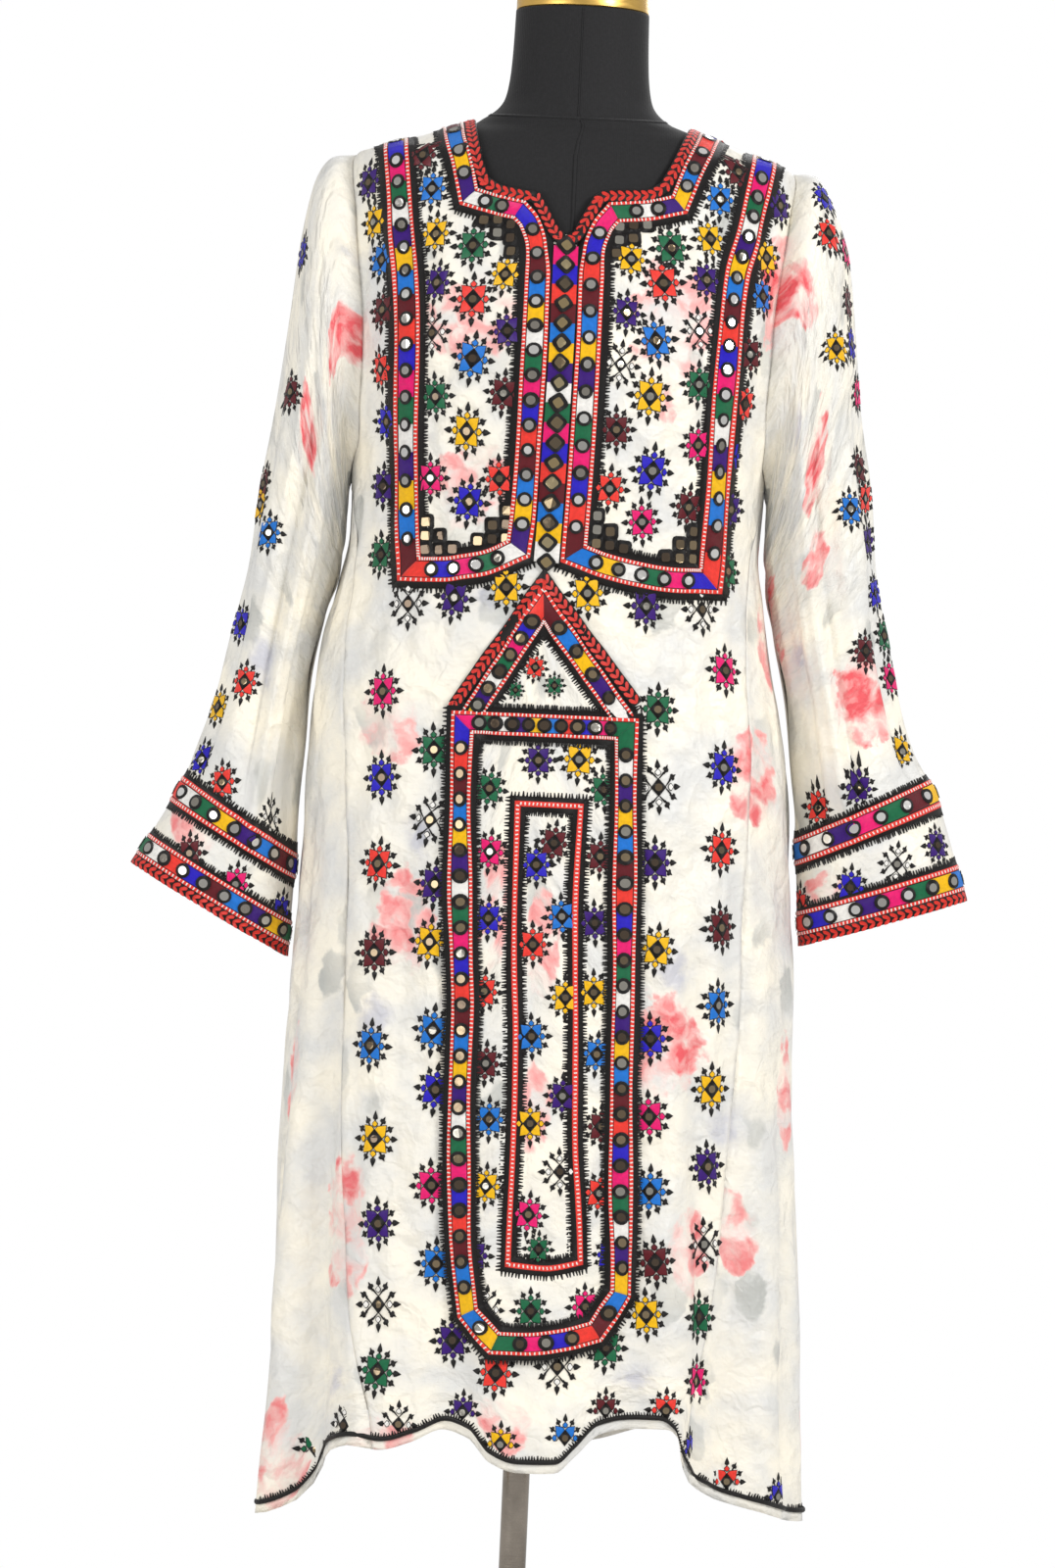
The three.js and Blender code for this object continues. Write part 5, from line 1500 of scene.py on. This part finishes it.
class DRESS_OT_cuffs(bpy.types.Operator):
    """Embroidered bands and braid round the cuffs"""

    bl_idname = "dress.cuffs"
    bl_label = "Cuff bands"

    def execute(self, context):
        thread = threads()
        kit = stitch_kit()
        rng = np.random.default_rng(31)
        plain = {"black": thread["black"], "edge": thread["red"]}
        for name, (first, last, colours) in CUFF_CELLS.items():
            hand = name.rsplit("_", 1)[1]
            ring = Ring(SLEEVES[hand], first, last)
            work, glass = Stitches(), Stitches()
            seen = colours.split()
            if hand == "left":
                seen.reverse()
            names = (seen + list(CYCLE))[: 2 * len(seen)]
            each = [
                {**plain, "satin": thread[names[row // CELL_ROWS]]} for row in range(len(names) * CELL_ROWS)
            ]
            work.strip(ring, raised(CUFF_BAND, CUFF_LIFT), each)
            seams = ring.length * np.arange(len(names)) / len(names)
            lay_mirrors(work, glass, ring, kit, thread, CUFF_LIFT, seams, "silver", rng)
            dress_edges(work, ring, kit, thread, CUFF_LIFT, RED_LINES, CUFF_EDGE, rng)
            finish_both(name, work, glass, BAND_STITCH, BAND_MIRROR, name)
        for name, (first, last) in CUFF_BRAIDS.items():
            ring = Ring(SLEEVES[name.rsplit("_", 1)[1]], first, last)
            work = Stitches()
            lay_braid(work, ring, kit, thread, CUFF_LIFT)
            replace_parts(work.piece(f"{name}_stitches", finish("rayon_floss"), BAND_STITCH, "braid"), name)
        return {"FINISHED"}


# Black ground under a braid: the same columns as BAND.
BRAID_GROUND = (
    (-1, -1.5, 0.2, "black"), (-1, -0.8, 0.9, "black"), (1, 0.8, 0.9, "black"), (1, 1.5, 0.2, "black"),
)
BRAID_STEP = 6.3
BRAID_WIDTH = 7.0
BRAID_FROM_NECK = 3.8
NECK_BRAID_LIFT = 0.9


def lay_braid(work, leg, kit, thread, lift):
    """Two rows of slanted red stitches that meet in the middle, over a black ground."""
    ground = [{"black": thread["black"]}] * max(2, int(leg.length / 3))
    work.strip(leg, raised(BRAID_GROUND, lift), ground)
    f = np.arange(0.5, leg.length - 2, BRAID_STEP)
    red = np.tile(thread["red"], (len(f), 1))
    for template in ("lobe", "lobe_back"):
        u, v = leg.place(f, 0.0)
        work.copies(kit[template], leg.surface, u, v, red, leg.heading(f), lift=lift + 1.0)


def beside_neck(distance):
    """Line that runs beside the neckline at a distance from it."""
    line = np.array(FRONT_NECK, float)
    along = unit(np.concatenate([line[1:], line[-1:]]) - np.concatenate([line[:1], line[:-1]]))
    spots = line + np.stack([along[:, 1], -along[:, 0]], -1) * distance
    return [(x, z, BRAID_WIDTH) for x, z in spots]


class DRESS_OT_braid(bpy.types.Operator):
    """Red braid along the neck and the top of the pocket"""

    bl_idname = "dress.braid"
    bl_label = "Braid"

    def execute(self, context):
        thread = threads()
        kit = stitch_kit()
        lines = (
            ("neck_braid", beside_neck(BRAID_FROM_NECK), NECK_BRAID_LIFT),
            ("pocket_braid", POCKET_BRAID, POCKET_LIFT),
        )
        for name, rows, lift in lines:
            work = Stitches()
            for leg in split_legs(rows, False):
                lay_braid(work, leg, kit, thread, lift)
            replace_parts(work.piece(f"{name}_stitches", finish("rayon_floss"), BAND_STITCH, "braid"), name)
        return {"FINISHED"}


def lay_motifs(work, glass, kit, thread, surface, u, v, names, rng, sizes=1.0, lift=0.25, half=False):
    """Star motifs with a mirror in each, laid flat at places on a surface."""
    names = np.array(names)
    sizes = np.broadcast_to(np.asarray(sizes, float), names.shape)
    turn = rng.uniform(-0.13, 0.13, len(names)) if not half else np.zeros(len(names))
    for open_work in (False, True):
        pick = (names == "white") == open_work
        if not pick.any():
            continue
        template = kit[("open_" if open_work else "") + ("half_" if half else "") + "motif"]
        palette = np.array([[thread["black"], thread[n]] for n in names[pick]])
        work.copies(template, surface, u[pick], v[pick], palette, None, turn[pick], sizes[pick], lift)
    tones = glass_tones(rng, "brown", len(names))
    glass.copies(kit["chip"], surface, u, v, tones, None, turn, sizes * 0.86, lift + 0.5)


def on_front(rows):
    """Places on the dress, in degrees and height, of a table of motifs."""
    spots = np.array([row[:2] for row in rows], float)
    return front_place(spots[:, 0], spots[:, 1])


# Mirrors of the black patches in the corners of the yoke, as seen from the front: x, z.
CORNER_MIRRORS = (
    (-71, 1334), (-60, 1335), (-49, 1331), (-60, 1324), (-49, 1320), (-48, 1309), (-106, 1090), (-106, 1079),
    (-95, 1079), (-106, 1068), (-95, 1068), (-84, 1069), (-42, 1101), (-42, 1090), (-53, 1089), (-42, 1079),
    (-53, 1078), (-64, 1076), (38, 1333), (49, 1335), (60, 1336), (38, 1322), (49, 1324), (36, 1311),
    (30, 1100), (30, 1089), (41, 1088), (30, 1078), (41, 1077), (52, 1075), (108, 1092), (108, 1081),
    (97, 1081), (108, 1070), (97, 1070), (86, 1070),
)


def lay_corner_mirrors(work, glass, kit, thread, rng):
    """Square mirrors in black frames that fill the corners of the yoke."""
    u, v = on_front(CORNER_MIRRORS)
    turn = math.pi / 4 + rng.uniform(-0.08, 0.08, len(u))
    black = np.tile(thread["black"], (len(u), 1))
    work.copies(kit["square_ring"], dress, u, v, black, None, turn, 1.02, 0.5)
    glass.copies(kit["square_chip"], dress, u, v, glass_tones(rng, "brown", len(u)), None, turn, 0.92, 0.9)


class DRESS_OT_motifs(bpy.types.Operator):
    """Star motifs with mirrors on the yoke, the skirt, the pocket, the back and the sleeves"""

    bl_idname = "dress.motifs"
    bl_label = "Star motifs"

    def execute(self, context):
        thread = threads()
        kit = stitch_kit()
        rng = np.random.default_rng(41)
        groups = (
            ("yoke_motifs", YOKE_MOTIFS, 0.9, dress, 0.45), ("skirt_motifs", SKIRT_MOTIFS, 0.98, dress, 0.45),
            ("pocket_motifs", POCKET_MOTIFS, 0.86, pocket, 0.35),
        )
        for name, rows, size, surface, lift in groups:
            work, glass = Stitches(), Stitches()
            u, v = on_front(rows)
            sizes = np.array([size * (row[3] if len(row) > 3 else 1) for row in rows])
            lay_motifs(work, glass, kit, thread, surface, u, v, [row[2] for row in rows], rng, sizes, lift)
            if name == "yoke_motifs":
                lay_corner_mirrors(work, glass, kit, thread, rng)
            finish_both(name, work, glass, MOTIF_STITCH, MOTIF_MIRROR)
        work, glass = Stitches(), Stitches()
        cycle = CYCLE * 5
        for column, (deg, top) in enumerate(BACK_COLUMNS):
            z = np.arange(top, BACK_BOTTOM, -BACK_STEP)
            u = np.full(len(z), float(deg))
            names = cycle[column * 2 : column * 2 + len(z)]
            lay_motifs(work, glass, kit, thread, dress, u, z, names, rng, 0.95)
        finish_both("back_motifs", work, glass, MOTIF_STITCH, MOTIF_MIRROR)
        for hand, rows in SLEEVE_MOTIFS.items():
            surface = SLEEVES[hand]
            work, glass = Stitches(), Stitches()
            places = [sleeve_place(surface, x, z) for x, z, *_ in rows]
            names = [row[2] for row in rows]
            behind = [(360 - deg, s) for deg, s in places]
            u, v = np.array(places + behind).T
            lay_motifs(work, glass, kit, thread, surface, u, v, names + names[::-1], rng, 0.85)
            finish_both(f"sleeve_{hand}_motifs", work, glass, MOTIF_STITCH, MOTIF_MIRROR)
        return {"FINISHED"}


# Columns of motifs on the back, where the photograph doesn't show the dress: degrees, height of the first.
BACK_COLUMNS = ((125, 1040), (143, 1010), (162, 1040), (180, 1330), (198, 1040), (217, 1010), (235, 1040))
BACK_BOTTOM = 430
BACK_STEP = 66.0
HEM_ABOVE = 9
HALF_MOTIF_ABOVE = 6
HALF_MOTIF_SIDE = 2.2  # degrees to each side at which a half motif still clears the hem
HEM_BEHIND = (95, 268, 13.5)  # half motifs behind: first, last and step in degrees


class DRESS_OT_hem(bpy.types.Operator):
    """Black chain stitch, spikes and half motifs round the hem"""

    bl_idname = "dress.hem"
    bl_label = "Hem stitches"

    def execute(self, context):
        thread = threads()
        kit = stitch_kit()
        rng = np.random.default_rng(51)
        work, glass = Stitches(), Stitches()
        line = HemLine(HEM_ABOVE)
        chain = ((-1, 0, 1.6, "black"), (-0.5, 0, 2.5, "black"), (0.5, 0, 2.5, "black"), (1, 0, 1.6, "black"))
        work.strip(line, chain, [{"black": thread["black"]}] * int(line.length / 3))
        f = np.arange(1.0, line.length, SPIKE_STEP)
        u, v = line.place(f, 0.8)
        black = np.tile(thread["black"], (len(f), 1))
        turn = rng.uniform(-0.25, 0.25, len(f))
        size = rng.uniform(0.5, 0.95, len(f))
        work.copies(kit["spike"], dress, u, v, black, line.heading(f), turn, size, 0.25)
        rows = [(front_place(float(x), 400.0)[0], name) for x, name in HEM_MOTIFS]
        front = np.array([float(deg) for deg, _ in rows])
        rest = np.arange(*HEM_BEHIND)
        deg = np.concatenate([front, rest])
        names = [name for _, name in rows] + [CYCLE[(3 * k) % 9] for k in range(len(rest))]
        z = np.max([hem(deg + side) for side in (-HALF_MOTIF_SIDE, 0.0, HALF_MOTIF_SIDE)], axis=0)
        z = z + HEM_ABOVE + HALF_MOTIF_ABOVE
        lay_motifs(work, glass, kit, thread, dress, deg, z, names, rng, 0.85, half=True)
        finish_both("hem", work, glass, HEM_STITCH, MOTIF_MIRROR)
        return {"FINISHED"}


FORM_ROWS = (
    *FORM_TORSO,
    *((z - SHOULDER_DROP, float(body[0](z)), float(body[1](z)) - (4 if z < SHOULDER_TIP else 0),
        float(body[2](z)) - 3, float(body[3](z)) - 3) for z in FORM_SHOULDER),
    *FORM_NECK,
)
form_section = [curve(FORM_ROWS, column) for column in range(1, 5)]
form = Surface(lambda deg, z: oval_point(form_section, deg, z), 0.5, 1.0)


NECK_SEAM_Z = 1428
NECK_SEAM_DIP = 6
NECK_SEAM_WIDTH = 1.6
UPRIGHT_SEAM_HALF = 0.45  # half width in degrees
UPRIGHT_SEAM_END = 1120


def neck_seam(across, down):
    """Seam where the neck joins the shoulders, lowest in front."""
    deg = across * 360
    return deg, NECK_SEAM_Z - NECK_SEAM_DIP * np.cos(np.radians(deg)) + NECK_SEAM_WIDTH * (0.5 - down)


def upright_seam(middle):
    def place(across, down):
        z = NECK_TOP - 2 - (NECK_TOP - UPRIGHT_SEAM_END) * down
        return middle + UPRIGHT_SEAM_HALF * (across - 0.5) * 2, z

    return place


# Raised seams of the jersey: name, columns, rows and the place of each share of them.
FORM_SEAMS = (
    ("form_neck_seam", 96, 2, neck_seam), ("form_front_seam", 2, 120, upright_seam(0)),
    ("form_back_seam", 2, 120, upright_seam(180)),
)
FORM_SIDES = 96


class DRESS_OT_form(bpy.types.Operator):
    """Jersey-covered torso and neck of the dress form"""

    bl_idname = "dress.form"
    bl_label = "Dress form"

    def execute(self, context):
        bm = bmesh.new()
        bmesh.ops.create_circle(bm, cap_ends=False, segments=FORM_SIDES, radius=1)
        ring = bm.edges[:]
        levels = np.concatenate([np.linspace(TORSO_BOTTOM, 1380, 90), np.linspace(1384, NECK_TOP, 60)])
        for _ in levels[1:]:
            made = bmesh.ops.extrude_edge_only(bm, edges=ring)["geom"]
            ring = [e for e in made if isinstance(e, bmesh.types.BMEdge)]
            moved = [v for v in made if isinstance(v, bmesh.types.BMVert)]
            bmesh.ops.translate(bm, verts=moved, vec=(0, 0, 1))
        bmesh.ops.holes_fill(bm, edges=bm.edges, sides=FORM_SIDES)
        bmesh.ops.recalc_face_normals(bm, faces=bm.faces)
        mesh = mesh_from(bm, "form_torso_jersey")
        spots = np.array([v.co for v in mesh.vertices])
        step = np.rint(spots[:, 2]).astype(int)
        spots[:, 2] = levels[np.clip(step, 0, len(levels) - 1)]
        deg = np.degrees(np.arctan2(spots[:, 0], -spots[:, 1]))
        set_places(mesh, oval_point(form_section, deg, spots[:, 2]))
        piece = finish_piece("form_torso_jersey", mesh, finish("black_cotton_jersey"), "jersey")
        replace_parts(piece, "form_torso")
        for name, columns, rows, place in FORM_SEAMS:
            bm, across, down = grid_mesh(columns, rows)
            mesh = mesh_from(bm, name)
            deg, z = place(across, down)
            set_places(mesh, form.lifted(deg, z, 0.5))
            thicken(finish_piece(name, mesh, finish("black_cotton_jersey"), "jersey"), 0.8)
        return {"FINISHED"}


# Outlines of the turned parts from the axis out: radius, height.
CAP_PROFILE = (
    (0, 0.3), (53, 0.3), (54, 1.3), (54, 13), (53.2, 14.4), (51.4, 15.4), (44, 16.8), (30, 18.6), (16, 20.2),
    (12.4, 21.4), (10.4, 23.6), (9, 27), (10.2, 29.6), (12.2, 32), (13, 34.4), (12.4, 37.4), (10.6, 40.2),
    (7, 42.4), (3, 43.2), (0, 43.3),
)
POLE_PROFILE = ((0, 45.7), (11, 46), (11, 689.4), (0, 689.6))
BASE_PROFILE = (
    (0, 0), (187, 0), (189.4, 0.7), (190, 2.4), (190, 8.4), (189.2, 10.6), (187, 11.8), (120, 12.6),
    (60, 13.8), (31, 15.6), (25, 18), (21, 21.6), (19, 26), (19, 43), (18.2, 45.2), (16.4, 46), (0, 46),
)


def turned(name, profile, x, z, sides, finish_name, slot_name, cad_node):
    """Part turned on a lathe round an upright axis."""
    bm = bmesh.new()
    spots = [bm.verts.new((radius, 0, height)) for radius, height in profile]
    edges = [bm.edges.new(pair) for pair in zip(spots, spots[1:])]
    bmesh.ops.spin(
        bm, geom=spots + edges, cent=(0, 0, 0), axis=(0, 0, 1), angle=2 * math.pi, steps=sides,
        use_merge=True,
    )
    bmesh.ops.remove_doubles(bm, verts=bm.verts, dist=1e-4)
    bmesh.ops.recalc_face_normals(bm, faces=bm.faces)
    mesh = mesh_from(bm, name)
    spots = np.array([v.co for v in mesh.vertices])
    set_places(mesh, spots + (x, 0, z))
    piece = finish_piece(name, mesh, finish(finish_name), slot_name)
    mesh.set_sharp_from_angle(angle=math.radians(40))
    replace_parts(piece, cad_node)


class DRESS_OT_stand(bpy.types.Operator):
    """Neck cap, pole and round base of the dress form"""

    bl_idname = "dress.stand"
    bl_label = "Stand"

    def execute(self, context):
        turned("neck_cap_brass", CAP_PROFILE, 1, NECK_TOP, 72, "polished_brass", "brass", "neck_cap")
        turned("pole_steel", POLE_PROFILE, 0, 0, 48, "brushed_steel", "steel", "pole")
        turned("base_steel", BASE_PROFILE, 0, 0, 96, "brushed_steel", "steel", "base")
        return {"FINISHED"}


class DRESS_OT_finishes(bpy.types.Operator):
    """Materials of the cloth, the threads, the mirrors and the form"""

    bl_idname = "dress.finishes"
    bl_label = "Finishes"

    def execute(self, context):
        silk = context.scene.dress_silk
        shades = [tuple(getattr(silk, k)) for k in ("warm", "cool", "worn", "leaf", "rose_pale", "rose_deep")]
        silk_material("printed_satin_silk", shades)
        thread_material("rayon_floss")
        mirror_material()
        jersey_material(srgb("#0B0A0C"))
        metal_material("polished_brass", srgb("#E6BC66"), 0.3, 60.0)
        metal_material("brushed_steel", srgb("#A89E92"), 0.16, 80.0)
        return {"FINISHED"}


class DRESS_OT_sheets(bpy.types.Operator):
    """Step that makes no change: no cloth sizes are stated here"""

    bl_idname = "dress.sheets"
    bl_label = "Cloth sizes"

    def execute(self, context):
        return {"FINISHED"}


CAMERA_LENS = 140.6
CAMERA_SENSOR = 36
CAMERA_PLACE = (-0.016, -5.0, 0.884)
CAMERA_ROLL = 2.56  # degrees by which the photograph leans
# Soft lights: name, place and size in metres, power in watts.
LIGHTS = (
    ("key", (2.4, -2.2, 2.5), 0.9, 66),
    ("fill", (-2.1, -2.2, 1.4), 1.8, 32),
    ("rim", (0.6, 2.4, 2.4), 1.6, 22),
)
LIGHT_AIM = (0, 0, 0.9)
# Strength of the white surroundings: as light on the dress, and as the backdrop.
SKY_LIGHT = 0.6
SKY_SEEN = 1.0
FLOOR_RADIUS = 1.3


class DRESS_OT_stage(bpy.types.Operator):
    """Camera, soft studio lights and a pale floor"""

    bl_idname = "dress.stage"
    bl_label = "Stage"

    def execute(self, context):
        scene = context.scene
        scene.view_settings.view_transform = "Standard"
        lens = bpy.data.cameras.new("camera")
        lens.lens = CAMERA_LENS
        lens.sensor_width = CAMERA_SENSOR
        lens.sensor_fit = "AUTO"
        camera = bpy.data.objects.new("camera", lens)
        scene.collection.objects.link(camera)
        camera.matrix_world = (
            Matrix.Translation(CAMERA_PLACE)
            @ Matrix.Rotation(math.radians(90), 4, "X")
            @ Matrix.Rotation(math.radians(CAMERA_ROLL), 4, "Z")
        )
        scene.camera = camera
        for name, spot, size, power in LIGHTS:
            lamp = bpy.data.lights.new(name, "AREA")
            lamp.energy = power
            lamp.size = size
            made = bpy.data.objects.new(name, lamp)
            scene.collection.objects.link(made)
            aim = Vector(LIGHT_AIM) - Vector(spot)
            made.matrix_world = Matrix.Translation(spot) @ aim.to_track_quat("-Z", "Y").to_matrix().to_4x4()
        world = bpy.data.worlds.new("studio")
        scene.world = world
        world.use_nodes = True
        tree = world.node_tree
        tree.nodes.clear()
        seen = node(tree, "LightPath", {})
        strength = node(tree, "MapRange", {0: seen, 3: SKY_LIGHT, 4: SKY_SEEN})
        sky = node(tree, "Background", {"Color": (1.0, 1.0, 1.0), "Strength": strength})
        node(tree, "OutputWorld", {"Surface": sky}, out=slice(0, 0))
        bm = bmesh.new()
        bmesh.ops.create_circle(bm, cap_ends=True, segments=96, radius=FLOOR_RADIUS)
        mesh = mesh_from(bm, "floor")
        floor = bpy.data.objects.new("floor", mesh)
        scene.collection.objects.link(floor)

        def plaster(tree):
            spot = node(tree, "TexCoord", {}, out=3)
            grain = node(tree, "TexNoise", {"Vector": spot, "Scale": 40.0, "Detail": 3.0})
            shade = node(tree, "ValToRGB", {0: grain}, stops=((0.3, srgb("#ECEAE6")), (0.7, srgb("#F3F1EE"))))
            return {"Base Color": shade, "Roughness": 0.8}

        mesh.materials.append(material("pale_plaster", plaster))
        return {"FINISHED"}


class DRESS_PT_panel(bpy.types.Panel):
    """Sidebar panel with the settings and the steps"""

    bl_idname = "DRESS_PT_panel"
    bl_label = "Kuchi Dress"
    bl_space_type = "VIEW_3D"
    bl_region_type = "UI"
    bl_category = "Kuchi Dress"

    def draw(self, context):
        for group in (context.scene.dress_silk, context.scene.dress_threads):
            for key in group.__annotations__:
                self.layout.prop(group, key)
        for step in STEPS:
            self.layout.operator(step.bl_idname)


STEPS = (
    DRESS_OT_finishes, DRESS_OT_panels, DRESS_OT_sleeves, DRESS_OT_pocket, DRESS_OT_bands, DRESS_OT_cuffs,
    DRESS_OT_braid, DRESS_OT_motifs, DRESS_OT_hem, DRESS_OT_form, DRESS_OT_stand, DRESS_OT_sheets,
    DRESS_OT_stage,
)
CLASSES = (SilkSettings, ThreadSettings, *STEPS, DRESS_PT_panel)


def register():
    for each in CLASSES:
        bpy.utils.register_class(each)
    bpy.types.Scene.dress_silk = PointerProperty(type=SilkSettings)
    bpy.types.Scene.dress_threads = PointerProperty(type=ThreadSettings)


def unregister():
    del bpy.types.Scene.dress_threads
    del bpy.types.Scene.dress_silk
    for each in reversed(CLASSES):
        bpy.utils.unregister_class(each)


def main():
    register()
    for step in STEPS:
        group, name = step.bl_idname.split(".")
        getattr(getattr(bpy.ops, group), name)()


if __name__ == "__main__":
    main()
